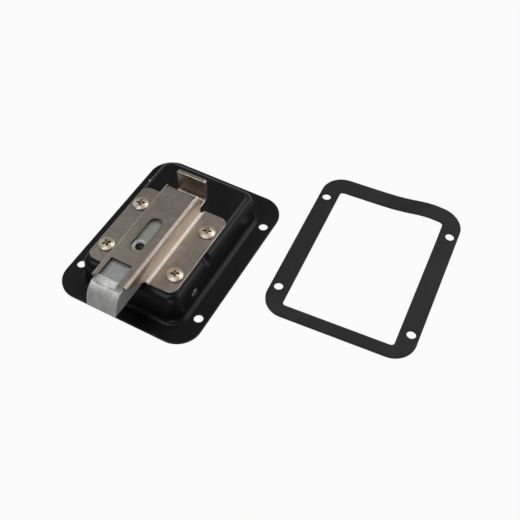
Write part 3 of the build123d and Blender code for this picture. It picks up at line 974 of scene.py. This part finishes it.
def evaluated(source: bpy.types.Object) -> bmesh.types.BMesh:
    """Reads an object's mesh with its modifiers or its bevel.

    Args:
        source: The object.

    Returns:
        A copy of the mesh.
    """
    graph = bpy.context.evaluated_depsgraph_get()
    mesh = bpy.data.meshes.new_from_object(source.evaluated_get(graph))
    solid = bmesh.new()
    solid.from_mesh(mesh)
    bpy.data.meshes.remove(mesh)
    return solid


def joined(parts: Sequence[bmesh.types.BMesh]) -> bmesh.types.BMesh:
    """Joins meshes into the first of them and frees the others.

    Args:
        parts: The meshes.

    Returns:
        The first of them, with all the parts.
    """
    whole, *rest = parts
    for part in rest:
        scratch = as_mesh("scratch", part)
        whole.from_mesh(scratch)
        bpy.data.meshes.remove(scratch)
    return whole


def cut(
    solid: bmesh.types.BMesh, tool: bmesh.types.BMesh, operation: str = "DIFFERENCE"
) -> bmesh.types.BMesh:
    """Combines two closed meshes.

    Args:
        solid: The mesh that is worked on, and freed.
        tool: The mesh that cuts it, and is freed.
        operation: What the Boolean modifier does.

    Returns:
        The result.
    """
    made = [shown("scratch", as_mesh("scratch", part)) for part in (solid, tool)]
    change = made[0].modifiers.new("cut", "BOOLEAN")
    change.operation = operation
    change.solver = "EXACT"
    change.object = made[1]
    result = evaluated(made[0])
    for piece in made:
        data = piece.data
        bpy.data.objects.remove(piece)
        bpy.data.meshes.remove(data)
    bmesh.ops.remove_doubles(result, verts=result.verts, dist=TOUCH)
    return result


def wire(name: str, points: Sequence[Vector], radius: float, sides: int) -> bmesh.types.BMesh:
    """Draws a round wire along a smooth line.

    Args:
        name: A name for the scratch curve.
        points: The line's points, in millimetres.
        radius: The wire's radius.
        sides: Faces round the wire, a multiple of four.

    Returns:
        The capped tube.
    """
    data = bpy.data.curves.new(name, "CURVE")
    data.dimensions = "3D"
    data.bevel_depth = radius
    data.bevel_resolution = sides // 4
    data.use_fill_caps = True
    line = data.splines.new("POLY")
    line.points.add(len(points) - 1)
    for point, target in zip(line.points, points):
        point.co = (*target, 1.0)
    curve = shown(name, data)
    solid = evaluated(curve)
    bpy.data.objects.remove(curve)
    bpy.data.curves.remove(data)
    bmesh.ops.remove_doubles(solid, verts=solid.verts, dist=TOUCH / 10)
    bmesh.ops.recalc_face_normals(solid, faces=solid.faces)
    return solid


@dataclass
class SubAssembly:
    """A group of pieces that ride on one body."""

    body: Body = Body.HOUSING

    def piece(
        self,
        name: str,
        solid: bmesh.types.BMesh,
        dress: Dress,
        stands_for: str = "",
        extra: Sequence[Dress] = (),
        rides: bool = True,
    ) -> bpy.types.Object:
        """Makes an object of a mesh.

        Args:
            name: The piece's name.
            solid: Its mesh in millimetres, which is freed.
            dress: Its finish.
            stands_for: The CAD node that it replaces.
            extra: Finishes of the faces whose material index is above nought.
            rides: Whether it rides on the sub-assembly's body.

        Returns:
            The new object.
        """
        bmesh.ops.scale(solid, vec=(MM, MM, MM), verts=solid.verts)
        for face in solid.faces:
            face.smooth = True
        mesh = as_mesh(name, solid)
        for each in (dress, *extra):
            mesh.materials.append(each.value.material())
        made = shown(name, mesh)
        shading = made.modifiers.new("flat_faces_stay_flat", "WEIGHTED_NORMAL")
        shading.mode = "FACE_AREA_WITH_ANGLE"
        shading.weight = FLAT_WEIGHT
        if rides:
            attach(made, self.body.value)
        if stands_for:
            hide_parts(stands_for)
        LOG.info("%s: %d faces on %s", name, len(mesh.polygons), self.body.value)
        return made

    def softened(
        self, name: str, node: str, dress: Dress, radius: float, segments: int = 2
    ) -> bpy.types.Object:
        """Stands a copy of a CAD node with rounded corners in for it.

        Args:
            name: The piece's name.
            node: The CAD node.
            dress: Its finish.
            radius: How far a round reaches from its corner.
            segments: Faces across a round.

        Returns:
            The new object.
        """
        solid = merged_copy(node)
        soften(solid, radius, segments, clamp=False)
        return self.piece(name, solid, dress, node)


@dataclass
class Housing(SubAssembly):
    """The drawn pan and the stamped bracket on its back."""

    pan_round: float = 0.3
    flange_top: float = 2.0
    bracket_round: float = 0.4
    rim_round: float = 0.18
    channel_x: float = 14.0
    rim_x: float = 14.3
    rim_top: float = 26.0
    bracket_sheet: float = 1.6
    upright: float = 0.03
    # Painted shade on the thin sheared faces of the bracket's sheet.
    sheared_shade: float = 0.85

    def is_flange_rim(self, edge: bmesh.types.BMEdge) -> bool:
        """Whether an edge lies on the outline or the holes of the pan's flange."""
        return all(corner.co.z < self.flange_top for corner in edge.verts)

    def is_channel_edge(self, edge: bmesh.types.BMEdge) -> bool:
        """Whether an edge lies on the bracket's channel."""
        return all(abs(corner.co.x) < self.channel_x for corner in edge.verts)

    def is_plate_rim(self, edge: bmesh.types.BMEdge) -> bool:
        """Whether an edge lies on the outline of the bracket's plates."""
        places = [corner.co for corner in edge.verts]
        return all(abs(place.x) > self.rim_x and place.z < self.rim_top for place in places)

    def build(self) -> None:
        """Makes the pan, and the bracket with painted shade on its sheared edges and a painted highlight on
        its plates' rims.
        """
        pan = merged_copy("mounting_pan")
        soften(pan, self.pan_round, 3, self.is_flange_rim, clamp=False)
        soften(pan, self.pan_round)
        self.piece("drawn_pan", pan, Dress.COATING, "mounting_pan")
        bracket = merged_copy("guide_bracket")
        soften(bracket, self.bracket_round, 3, self.is_channel_edge)
        # The plates' outline gets a narrow round, which takes the plating's painted edge highlight.
        soften(bracket, self.rim_round, 3, self.is_plate_rim, clamp=False)
        layers = bracket.faces.layers.float
        painted_shade, rounded = layers.new(PAINTED_SHADE), layers[EDGE]
        # Painted shade: the thin upright sheared faces of the bracket's sheet are darkened.
        for face in bracket.faces:
            heights = [corner.co.z for corner in face.verts]
            thin = max(heights) - min(heights) < self.bracket_sheet
            if thin and abs(face.normal.z) < self.upright and not face[rounded]:
                face[painted_shade] = self.sheared_shade
        self.piece("stamped_bracket", bracket, Dress.BRACKET, "guide_bracket")


@dataclass(frozen=True)
class Screw:
    """A pan-head screw with a cross recess and a thread."""

    steps: int = 48
    head_radius: float = 4.95
    head_shoulder: float = 1.5
    head_height: float = 2.4
    crown_steps: int = 7
    rim_round: float = 0.75
    rim_sweep: float = 75.0
    rim_steps: int = 5
    foot_chamfer: float = 0.15
    recess_span: float = 5.7
    recess_width: float = 1.5
    recess_depth: float = 1.9
    recess_taper: float = 0.84
    recess_round: float = 0.09
    core_depth: float = 2.3
    core_tip: float = 0.3
    core_mouth: float = 2.1
    core_sides: int = 16
    # A painted highlight on the rim, then painted shade at the foot and in the recess.
    rim_highlight: float = 0.8
    rim_from: float = 0.2
    foot_shade: float = 0.7
    foot_width: float = 0.2
    foot_height: float = 0.6
    wing_shade: float = 0.9
    far_side_shade: float = 0.3
    recess_reach: float = 0.6
    wing_reach: float = 0.7
    recess_floor: float = 0.1
    crown_skin: float = 0.12
    shank_radius: float = 2.1
    shank_steps: int = 24
    tip_chamfer: float = 0.5
    crest_radius: float = 2.48
    crest_share: float = 0.1
    flank_share: float = 0.55
    pitch: float = 0.8
    root_share: float = 0.3
    thread_from: float = 0.7
    thread_short: float = 0.9

    @property
    def reach(self) -> float:
        """Radius at which the crown meets the rim's round."""
        return self.head_radius - self.rim_round

    @property
    def dome(self) -> float:
        """Radius of the sphere that the crown is part of."""
        drop = self.head_height - self.head_shoulder
        return (self.reach**2 + drop**2) / (2 * drop)

    def build(self, seat: float, tip: float) -> bmesh.types.BMesh:
        """Makes the screw on the Z axis, from its tip up to its seat and its head above that.

        Args:
            seat: Height of the bracket's face.
            tip: Height of the screw's tip.

        Returns:
            The screw.
        """
        start = tip + self.thread_from
        ridge = self.thread(seat - self.thread_short - start)
        ridge = moved(ridge, Matrix.Translation((0, 0, start)))
        return joined([self.head(seat), self.shank(seat, tip), ridge])

    def head(self, seat: float) -> bmesh.types.BMesh:
        """The pan head with its cross recess, seated at a height.

        Args:
            seat: Height of the bracket's face.

        Returns:
            The head.
        """
        top = seat + self.head_height
        sweep = math.degrees(math.asin(self.reach / self.dome))
        crown = arc((0, top - self.dome), self.dome, 90, 90 - sweep, self.crown_steps)
        rim = (self.reach, crown[-1][1] - self.rim_round)
        outline = crown + arc(rim, self.rim_round, self.rim_sweep, 0, self.rim_steps)
        outline.append((self.head_radius, seat + self.foot_chamfer))
        outline += [(self.head_radius - self.foot_chamfer, seat), (0, seat)]
        solid = turned(outline, self.steps)
        size = Matrix.Diagonal((self.recess_span, self.recess_width, 1, 1)) @ about_z(45)
        mouth = math.sqrt(2) / 2
        for turn in (0, 90):
            wing = cone(mouth * self.recess_taper, mouth, 2 * self.recess_depth, 4)
            wing = moved(wing, Matrix.Translation((0, 0, top)) @ about_z(turn) @ size)
            solid = cut(solid, wing)
        core = cone(self.core_tip, self.core_mouth, 2 * self.core_depth, self.core_sides)
        solid = cut(solid, moved(core, Matrix.Translation((0, 0, top))))
        self.mark(solid, seat)
        soften(solid, self.recess_round)
        return solid

    def mark(self, solid: bmesh.types.BMesh, seat: float) -> None:
        """Marks a painted highlight on the head's rim, and painted shade at its foot and in its recess.

        Args:
            solid: The head.
            seat: Height of the bracket's face.
        """
        painted_shade, rounded = (solid.faces.layers.float.new(name) for name in (PAINTED_SHADE, EDGE))
        centre = seat + self.head_height - self.dome
        for face in solid.faces:
            middle = face.calc_center_median()
            out, height = middle.xy.length, middle.z - seat
            crown = centre - seat + math.sqrt(max(self.dome**2 - out**2, 0.0))
            # Painted highlight on the head's rim.
            if out > self.reach and height > self.rim_from:
                face[rounded] = self.rim_highlight
            # Painted shade at the head's foot, where it meets the bracket.
            if out > self.head_radius - self.foot_width and height < self.foot_height:
                face[painted_shade] = self.foot_shade
            # Painted shade in the recess: deep in the wings, lighter elsewhere on its far side.
            sunk = self.recess_floor < height < crown - self.crown_skin
            if sunk and out < self.recess_span * self.recess_reach:
                across = self.far_side_shade if middle.y > 0 else 0.0
                in_wing = abs(middle.y) < self.recess_width * self.wing_reach
                face[painted_shade] = self.wing_shade if in_wing else across

    def shank(self, seat: float, tip: float) -> bmesh.types.BMesh:
        """The plain core of the shank, chamfered at its tip.

        Args:
            seat: Height of the head's foot.
            tip: Height of the screw's tip.

        Returns:
            The core.
        """
        radius, chamfer = self.shank_radius, self.tip_chamfer
        outline = [(0, seat), (radius, seat), (radius, tip + chamfer)]
        outline += [(radius - chamfer, tip), (0, tip)]
        return turned(outline, self.shank_steps)

    def thread(self, length: float) -> bmesh.types.BMesh:
        """The thread's ridge, over a length from nought up.

        Args:
            length: How far the thread reaches.

        Returns:
            The ridge.
        """
        sunk = self.shank_radius + (self.shank_radius - self.crest_radius) * self.root_share
        flank, flat = self.pitch * self.flank_share, self.pitch * self.crest_share
        section = [(sunk, -flank), (self.crest_radius, -flat)]
        section += [(self.crest_radius, flat), (sunk, flank)]
        return helical(section, self.pitch, length / self.pitch, self.shank_steps)


@dataclass(frozen=True)
class LockWasher:
    """A split washer whose ends stand a little apart."""

    inner: float = 2.56
    outer: float = 4.38
    rise: float = 0.3
    turns: float = 0.95
    steps: int = 40
    corner_round: float = 0.1

    def build(self, low: float, high: float) -> bmesh.types.BMesh:
        """Makes the washer on the Z axis, between two heights.

        Args:
            low: Height of the lower face.
            high: Height of the upper face.

        Returns:
            The washer.
        """
        thick = high - low - self.rise
        section = [(self.inner, 0.0), (self.outer, 0.0), (self.outer, thick), (self.inner, thick)]
        ring = helical(section, self.rise / self.turns, self.turns, self.steps)
        soften(ring, self.corner_round)
        return moved(ring, Matrix.Translation((0, 0, low)))


@dataclass(frozen=True)
class HexagonNut:
    """A nut, chamfered at its corners, with a countersunk bore."""

    flats: float = 8.0
    play: float = 0.02
    chamfer: float = 0.45
    chamfer_slope: float = 1.7
    lathe_play: float = 0.05
    lathe_steps: int = 48
    bore: float = 2.55
    bore_chamfer: float = 0.4
    bore_steps: int = 24
    overshoot: float = 0.1

    def build(self, low: float, high: float) -> bmesh.types.BMesh:
        """Makes the nut on the Z axis, between two heights.

        Args:
            low: Height of the lower face.
            high: Height of the upper face.

        Returns:
            The nut.
        """
        corner = self.flats / math.sqrt(3) - self.play
        prism = cone(corner, corner, high - low, 6)
        prism = moved(prism, Matrix.Translation((0, 0, (low + high) / 2)))
        flat, widest = corner - self.chamfer * self.chamfer_slope, corner + self.lathe_play
        lathe = [(0, high), (flat, high), (widest, high - self.chamfer)]
        lathe += [(widest, low + self.chamfer), (flat, low), (0, low)]
        mouth = self.bore + self.bore_chamfer
        top, foot = high + self.overshoot, low - self.overshoot
        bore = [(0, top), (mouth, top), (self.bore, high - self.bore_chamfer)]
        bore += [(self.bore, low + self.bore_chamfer), (mouth, foot), (0, foot)]
        prism = cut(prism, turned(lathe, self.lathe_steps), "INTERSECT")
        return cut(prism, turned(bore, self.bore_steps))


@dataclass
class BracketFasteners(SubAssembly):
    """The bracket's four screws, with their washers and nuts."""

    screw: Screw = Screw()
    washer: LockWasher = LockWasher()
    nut: HexagonNut = HexagonNut()
    driven_to: tuple[float, ...] = (45.0, 20.0, 30.0, 18.0)

    def places(self) -> list[Span]:
        """Centres of the screws, from the box that holds the nuts.

        Returns:
            X and Y of each screw.
        """
        low, high = (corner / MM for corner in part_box("bracket_nuts"))
        flat, corner = self.nut.flats / 2, self.nut.flats / math.sqrt(3)
        columns, rows = (low.x + flat, high.x - flat), (low.y + corner, high.y - corner)
        return [(x, y) for x in columns for y in rows]

    def build(self) -> None:
        """Makes the screws, washers and nuts."""
        screw_low, screw_high = (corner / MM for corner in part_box("bracket_screws"))
        washer = [corner.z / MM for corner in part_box("lock_washers")]
        nut = [corner.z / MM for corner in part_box("bracket_nuts")]
        seat = screw_high.z - self.screw.head_height
        screws, washers, nuts = [], [], []
        for (x, y), turn in zip(self.places(), self.driven_to):
            centre = Matrix.Translation((x, y, 0))
            here = centre @ about_z(turn)
            screws.append(moved(self.screw.build(seat, screw_low.z), here))
            washers.append(moved(self.washer.build(*washer), here))
            nuts.append(moved(self.nut.build(*nut), centre))
        self.piece("cross_recess_screws", joined(screws), Dress.FASTENER, "bracket_screws")
        self.piece("split_lock_washers", joined(washers), Dress.FASTENER, "lock_washers")
        self.piece("hexagon_nuts", joined(nuts), Dress.FASTENER, "bracket_nuts")


@dataclass
class SlamBolt(SubAssembly):
    """The cast bolt, the tail plate under it and their rivets."""

    body: Body = Body.BOLT
    cast_round: float = 0.45
    nose_y: float = -61.0
    nose_top: float = 35.2
    hole_x: float = 0.1
    hole_y: float = -32.1
    hole_depth: float = 6.0
    bore_radius: float = 2.5
    sink_radius: float = 3.8
    # Painted shade in the knob hole and on the faces that look along +X.
    sink_round: float = 0.25
    sink_shade: float = 0.05
    bore_shade: float = 0.85
    side_shade: float = 0.4
    side_facing: float = 0.9
    flat_facing: float = 0.98
    play: float = 0.05
    level_play: float = 0.01
    rim_play: float = 0.1
    tab_round: float = 0.35
    rivet_round: float = 0.15

    @staticmethod
    def flat_height() -> float:
        """Height of the bolt's flat top, which the rivets end at."""
        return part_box("tail_rivets")[1].z / MM

    def from_hole(self, place: Vector) -> float:
        """Distance of a point from the knob hole's axis."""
        return math.dist(place.xy, (self.hole_x, self.hole_y))

    def is_sink_rim(self, edge: bmesh.types.BMEdge) -> bool:
        """Whether an edge lies on the rim of the knob hole's countersink.

        Args:
            edge: An edge of the bolt.

        Returns:
            Whether it does.
        """
        top = self.flat_height()
        places = [corner.co for corner in edge.verts]
        level = all(abs(place.z - top) < self.level_play for place in places)
        off_rim = (abs(self.from_hole(place) - self.sink_radius) for place in places)
        return level and all(reach < self.rim_play for reach in off_rim)

    def is_free_edge(self, edge: bmesh.types.BMEdge) -> bool:
        """Whether an edge lies clear of the corner between the nose and the flat top."""
        return all(corner.co.y > self.nose_y or corner.co.z < self.nose_top for corner in edge.verts)

    def build(self) -> None:
        """Makes the bolt, its tail and its rivets."""
        solid = merged_copy("slam_bolt")
        top = self.flat_height()
        # Painted shade: the knob hole's bore is darkened almost to black and its countersink faintly, and
        # the faces that look along +X are darkened.
        painted_shade = solid.faces.layers.float.new(PAINTED_SHADE)
        for face in solid.faces:
            middle = face.calc_center_median()
            reach = self.from_hole(middle)
            if reach < self.sink_radius and top - self.hole_depth < middle.z < top - self.rim_play:
                in_sink = reach > self.bore_radius + self.play
                face[painted_shade] = self.sink_shade if in_sink else self.bore_shade
            elif face.normal.x > self.side_facing:
                face[painted_shade] = self.side_shade
        # The countersink's rim is rounded, which gives it the casting's painted edge highlight.
        soften(solid, self.sink_round, 2, self.is_sink_rim, clamp=False)
        soften(solid, self.cast_round, 3, self.is_free_edge, clamp=False)
        for face in solid.faces:
            level = abs(face.calc_center_median().z - top) < self.play
            if level and face.normal.z > self.flat_facing:
                face.material_index = 1
        self.piece("cast_slam_bolt", solid, Dress.CAST, "slam_bolt", [Dress.TRACK])
        self.softened("bent_tail_plate", "tail_plate", Dress.TAIL, self.tab_round, 3)
        self.softened("tail_plate_rivets", "tail_rivets", Dress.FASTENER, self.rivet_round)


@dataclass
class Paddle(SubAssembly):
    """The pressed tray, its lever and their rivets."""

    body: Body = Body.PADDLE
    sheet_round: float = 0.3
    rivet_round: float = 0.15

    def build(self) -> None:
        """Makes the tray, the lever and the rivets."""
        self.softened("pressed_paddle", "paddle_tray", Dress.COATING, self.sheet_round)
        self.softened("release_lever", "paddle_lever", Dress.ZINC, self.sheet_round)
        self.softened("lever_foot_rivets", "lever_rivets", Dress.FASTENER, self.rivet_round)


@dataclass
class HingeLine(SubAssembly):
    """The hinge pin, its clip, and the two springs with their guide pin."""

    bolt_travel: float = 11.0
    pin_round: float = 0.14
    clip_round: float = 0.12
    guide_round: float = 0.15
    points_per_turn: int = 28
    wire_sides: int = 12
    spring_turns: int = 10
    spring_wire: float = 0.9
    spring_radius: float = 2.65
    closed_pitch: float = 1.08
    torsion_turns: float = 4.0
    torsion_wire: float = 1.1
    torsion_inner: float = 3.05
    low_leg_lean: float = 12.0
    high_leg_lean: float = 38.0
    leg_foot: float = 1.1

    def build(self) -> None:
        """Makes the pins, the clip and the springs."""
        self.softened("headed_hinge_pin", "hinge_pin", Dress.PIN, self.pin_round)
        self.softened("pin_retaining_clip", "pin_clip", Dress.DARK, self.clip_round)
        self.softened("riveted_guide_pin", "spring_guide_pin", Dress.FASTENER, self.guide_round)
        self.bolt_spring()
        self.paddle_spring()

    def bolt_spring(self) -> None:
        """The coil between the bolt and the bracket's flap, with closed end turns."""
        low, high = (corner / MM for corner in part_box("bolt_spring"))
        centre = (low + high) / 2
        near, far = low.y + self.spring_wire / 2, high.y - self.spring_wire / 2
        closed = self.spring_wire * self.closed_pitch
        open_pitch = (far - near - 2 * closed) / (self.spring_turns - 2)
        points = []
        for step in range(self.spring_turns * self.points_per_turn + 1):
            turn = step / self.points_per_turn
            first, last = min(turn, 1.0), max(turn - self.spring_turns + 1, 0.0)
            y = near + closed * (first + last) + open_pitch * (turn - first - last)
            x = centre.x + self.spring_radius * math.cos(math.tau * turn)
            z = centre.z + self.spring_radius * math.sin(math.tau * turn)
            points.append(Vector((x, y, z)))
        solid = wire("bolt_coil", points, self.spring_wire / 2, self.wire_sides)
        coil = self.piece("bolt_coil_spring", solid, Dress.WIRE, "bolt_spring")
        keep = 1 - self.bolt_travel / (high.y - low.y)
        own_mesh(coil)

    def paddle_spring(self) -> None:
        """The torsion spring, which winds up between the tray and the pan's floor."""
        low, high = (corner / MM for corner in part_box("paddle_spring"))
        pin_low, pin_high = (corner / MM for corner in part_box("hinge_pin"))
        axis_y, axis_z = (pin_low.y + pin_high.y) / 2, (pin_low.z + pin_high.z) / 2
        half = self.torsion_wire / 2
        radius = self.torsion_inner + half
        first = (self.low_leg_lean - 90.0) / 360
        last = self.torsion_turns + (90.0 - self.high_leg_lean) / 360
        count = round((last - first) * self.points_per_turn)
        pitch = (high.x - low.x - self.torsion_wire) / (last - first)
        coil = []
        for step in range(count + 1):
            turn = first + (last - first) * step / count
            x = low.x + half + pitch * (turn - first)
            y = axis_y + radius * math.cos(math.tau * turn)
            z = axis_z + radius * math.sin(math.tau * turn)
            coil.append(Vector((x, y, z)))
        low_way = (coil[0] - coil[1]).normalized()
        high_way = (coil[-1] - coil[-2]).normalized()
        foot = half * self.leg_foot
        low_leg = coil[0] + low_way * ((low.z + foot - coil[0].z) / low_way.z)
        high_leg = coil[-1] + high_way * ((high.z - foot - coil[-1].z) / high_way.z)
        solid = wire("torsion_coil", [low_leg, *coil, high_leg], half, self.wire_sides)
        spring = self.piece("torsion_spring", solid, Dress.WIRE, "paddle_spring", rides=False)
        ends = [(x * MM, axis_y * MM, axis_z * MM) for x in (coil[0].x, coil[-1].x)]
        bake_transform(spring, Body.PADDLE.value, Body.HOUSING.value, *ends)


@dataclass
class Gasket(SubAssembly):
    """The rubber gasket, with a ripple in its far strip."""

    edge_round: float = 0.25
    turn: float = 4.2
    ripple_rise: float = 3.0
    ripple_x: float = 24.0
    ripple_reach: float = 15.0
    strip_from: float = 30.0
    strip_full: float = 46.0
    cell: float = 4.0
    cell_shift: float = 0.37
    cells: int = 15

    def build(self) -> None:
        """Makes the gasket, cut into cells so that it can bend."""
        low, high = (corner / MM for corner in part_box("flange_gasket"))
        centre = (low + high) / 2
        centre.z = 0
        inward = about_z(-self.turn) @ Matrix.Translation(-centre)
        solid = merged_copy("flange_gasket")
        soften(solid, self.edge_round)
        moved(solid, inward)
        for axis in (Vector((1, 0, 0)), Vector((0, 1, 0))):
            for step in range(-self.cells, self.cells + 1):
                bmesh.ops.bisect_plane(
                    solid,
                    geom=[*solid.verts, *solid.edges, *solid.faces],
                    dist=TOUCH,
                    plane_co=axis * (self.cell * (step + self.cell_shift)),
                    plane_no=axis,
                )
        for corner in solid.verts:
            corner.co.z += self.lift(corner.co.x, corner.co.y)
        moved(solid, inward.inverted())
        self.piece("rubber_gasket", solid, Dress.RUBBER, "flange_gasket")

    def lift(self, x: float, y: float) -> float:
        """How high the gasket stands off the floor at a point of its own plane.

        Args:
            x: Place across the gasket.
            y: Place along the gasket.

        Returns:
            The height.
        """
        share = min(max((y - self.strip_from) / (self.strip_full - self.strip_from), 0.0), 1.0)
        strip = share * share * (3 - 2 * share)
        bulge = math.exp(-(((x - self.ripple_x) / self.ripple_reach) ** 2))
        return self.ripple_rise * strip * bulge


@dataclass(frozen=True)
class Lamp:
    """A soft rectangular lamp that points at a target."""

    name: str
    place: Point
    size: Span
    radiance: float
    target: Point = (0.03, 0.0, 0.02)

    def build(self) -> None:
        """Hangs the lamp."""
        data = bpy.data.lights.new(self.name, "AREA")
        data.shape = "RECTANGLE"
        data.size, data.size_y = self.size
        data.energy = self.radiance * math.pi * self.size[0] * self.size[1]
        lamp = shown(self.name, data)
        aim = Vector(self.target) - Vector(self.place)
        lamp.rotation_euler = aim.to_track_quat("-Z", "Y").to_euler()
        lamp.location = self.place


@dataclass
class Studio:
    """The floor, the backdrop, the lamps and the camera."""

    eye: Point = (0.190995, -0.250512, 0.387365)
    right: Point = (0.8797894, 0.4752498, 0.0104081)
    up: Point = (-0.3810213, 0.6919221, 0.6132427)
    lens: float = 55.46
    sensor: float = 36.0
    nearest: float = 0.01
    floor_size: float = 6.0
    floor_drop: float = 0.0001
    floor_glow: float = 0.96
    paper: float = 0.32
    # Strength of the floor's glow to reflected rays: a painted reflection.
    floor_reflection_glow: float = 0.6
    floor_reflection_span: Span = (-150.0, 150.0)
    sky: float = 0.23
    horizon: float = 0.55
    horizon_span: Span = (0.55, 0.05)
    behind_camera: float = 0.35
    backdrop_span: Span = (-0.7, 0.3)
    lamps: tuple[Lamp, ...] = (
        Lamp("overhead_key", (-0.24, -0.42, 0.86), (0.45, 0.80), 2.9),
        Lamp("back_strip", (0.17, 0.54, 0.80), (0.42, 0.26), 5.4),
        Lamp("low_front", (0.45, -0.84, 0.16), (0.60, 0.30), 2.6),
        Lamp("low_back", (0.74, 0.55, 0.40), (0.45, 0.40), 2.4),
        Lamp("right_fill", (0.80, 0.25, 0.45), (0.60, 0.60), 0.7),
        Lamp("left_fill", (-0.70, 0.30, 0.62), (0.40, 0.40), 1.1),
    )

    def build(self) -> None:
        """Sets the stage."""
        bpy.context.scene.view_settings.view_transform = "Standard"
        for lamp in self.lamps:
            lamp.build()
        self.camera()
        self.floor()
        self.world()

    def camera(self) -> None:
        """Puts the camera where the photograph was taken from."""
        data = bpy.data.cameras.new("view")
        data.lens = self.lens
        data.sensor_width = self.sensor
        data.clip_start = self.nearest
        camera = shown("view", data)
        across, upward = Vector(self.right), Vector(self.up)
        axes = Matrix((across, upward, across.cross(upward))).transposed()
        camera.matrix_world = Matrix.LocRotScale(Vector(self.eye), axes.to_quaternion(), None)
        bpy.context.scene.camera = camera

    def floor(self) -> None:
        """Lays a white floor that shows white and keeps a soft shadow; to reflected rays it glows more
        towards the back, a painted reflection.
        """
        plane = bmesh.new()
        bmesh.ops.create_grid(plane, x_segments=1, y_segments=1, size=self.floor_size / 2)
        mesh = as_mesh("floor", moved(plane, Matrix.Translation((0, 0, -self.floor_drop))))
        sheet = Sheet(bpy.data.materials.new("white_table"))
        seen, mirrored = (
            sheet.add("ShaderNodeLightPath", output=ray) for ray in ("Is Camera Ray", "Is Glossy Ray")
        )
        grey = (self.paper, self.paper, self.paper, 1.0)
        paper = sheet.add("ShaderNodeBsdfDiffuse", inputs={"Color": grey})
        glow = sheet.add("ShaderNodeEmission", inputs={"Color": WHITE, "Strength": 1.0})
        # Painted reflection: the floor glows to reflected rays, fading out towards the front.
        shine = sheet.fade(sheet.along("Y"), self.floor_reflection_span) * self.floor_reflection_glow
        share = seen * self.floor_glow | mirrored * shine
        mixed = sheet.add("ShaderNodeMixShader", inputs={0: share, 1: paper, 2: glow})
        sheet.add("ShaderNodeOutputMaterial", inputs={"Surface": mixed})
        mesh.materials.append(sheet.owner)
        floor = shown("floor", mesh)

    def world(self) -> None:
        """Lights the studio from a pale horizon under a dimmer ceiling, and shows white behind."""
        sheet = Sheet(bpy.data.worlds.new("studio"))
        way = sheet.add("ShaderNodeTexCoord", output="Generated")
        depth, height = (
            sheet.add("ShaderNodeSeparateXYZ", inputs={0: way}, output=axis) for axis in "YZ"
        )
        level = self.sky + sheet.fade(height, self.horizon_span) * (self.horizon - self.sky)
        front = sheet.fade(depth, self.backdrop_span) * (1 - self.behind_camera)
        level = level * (self.behind_camera + front)
        room = sheet.add("ShaderNodeBackground", inputs={"Strength": level})
        white = sheet.add("ShaderNodeBackground", inputs={"Color": WHITE})
        seen = sheet.add("ShaderNodeLightPath", output="Is Camera Ray")
        mixed = sheet.add("ShaderNodeMixShader", inputs={0: seen, 1: room, 2: white})
        sheet.add("ShaderNodeOutputWorld", inputs={"Surface": mixed})
        bpy.context.scene.world = sheet.owner


def main(frame: dict[str, Any]) -> None:
    """Dresses the latch and sets the stage.
    """
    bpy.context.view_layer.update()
    slide = next(joint for joint in frame["joints"] if joint["name"] == "bolt_slide")
    hinge_line = HingeLine(bolt_travel=slide["range_m"][1] / MM)
    for group in (Housing(), BracketFasteners(), SlamBolt(), Paddle(), hinge_line, Gasket()):
        group.build()
    Studio().build()
    bpy.context.view_layer.update()


if __name__ == "__main__":
    logging.basicConfig(level=logging.INFO, format="%(name)s: %(message)s")
    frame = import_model()
    main(frame)
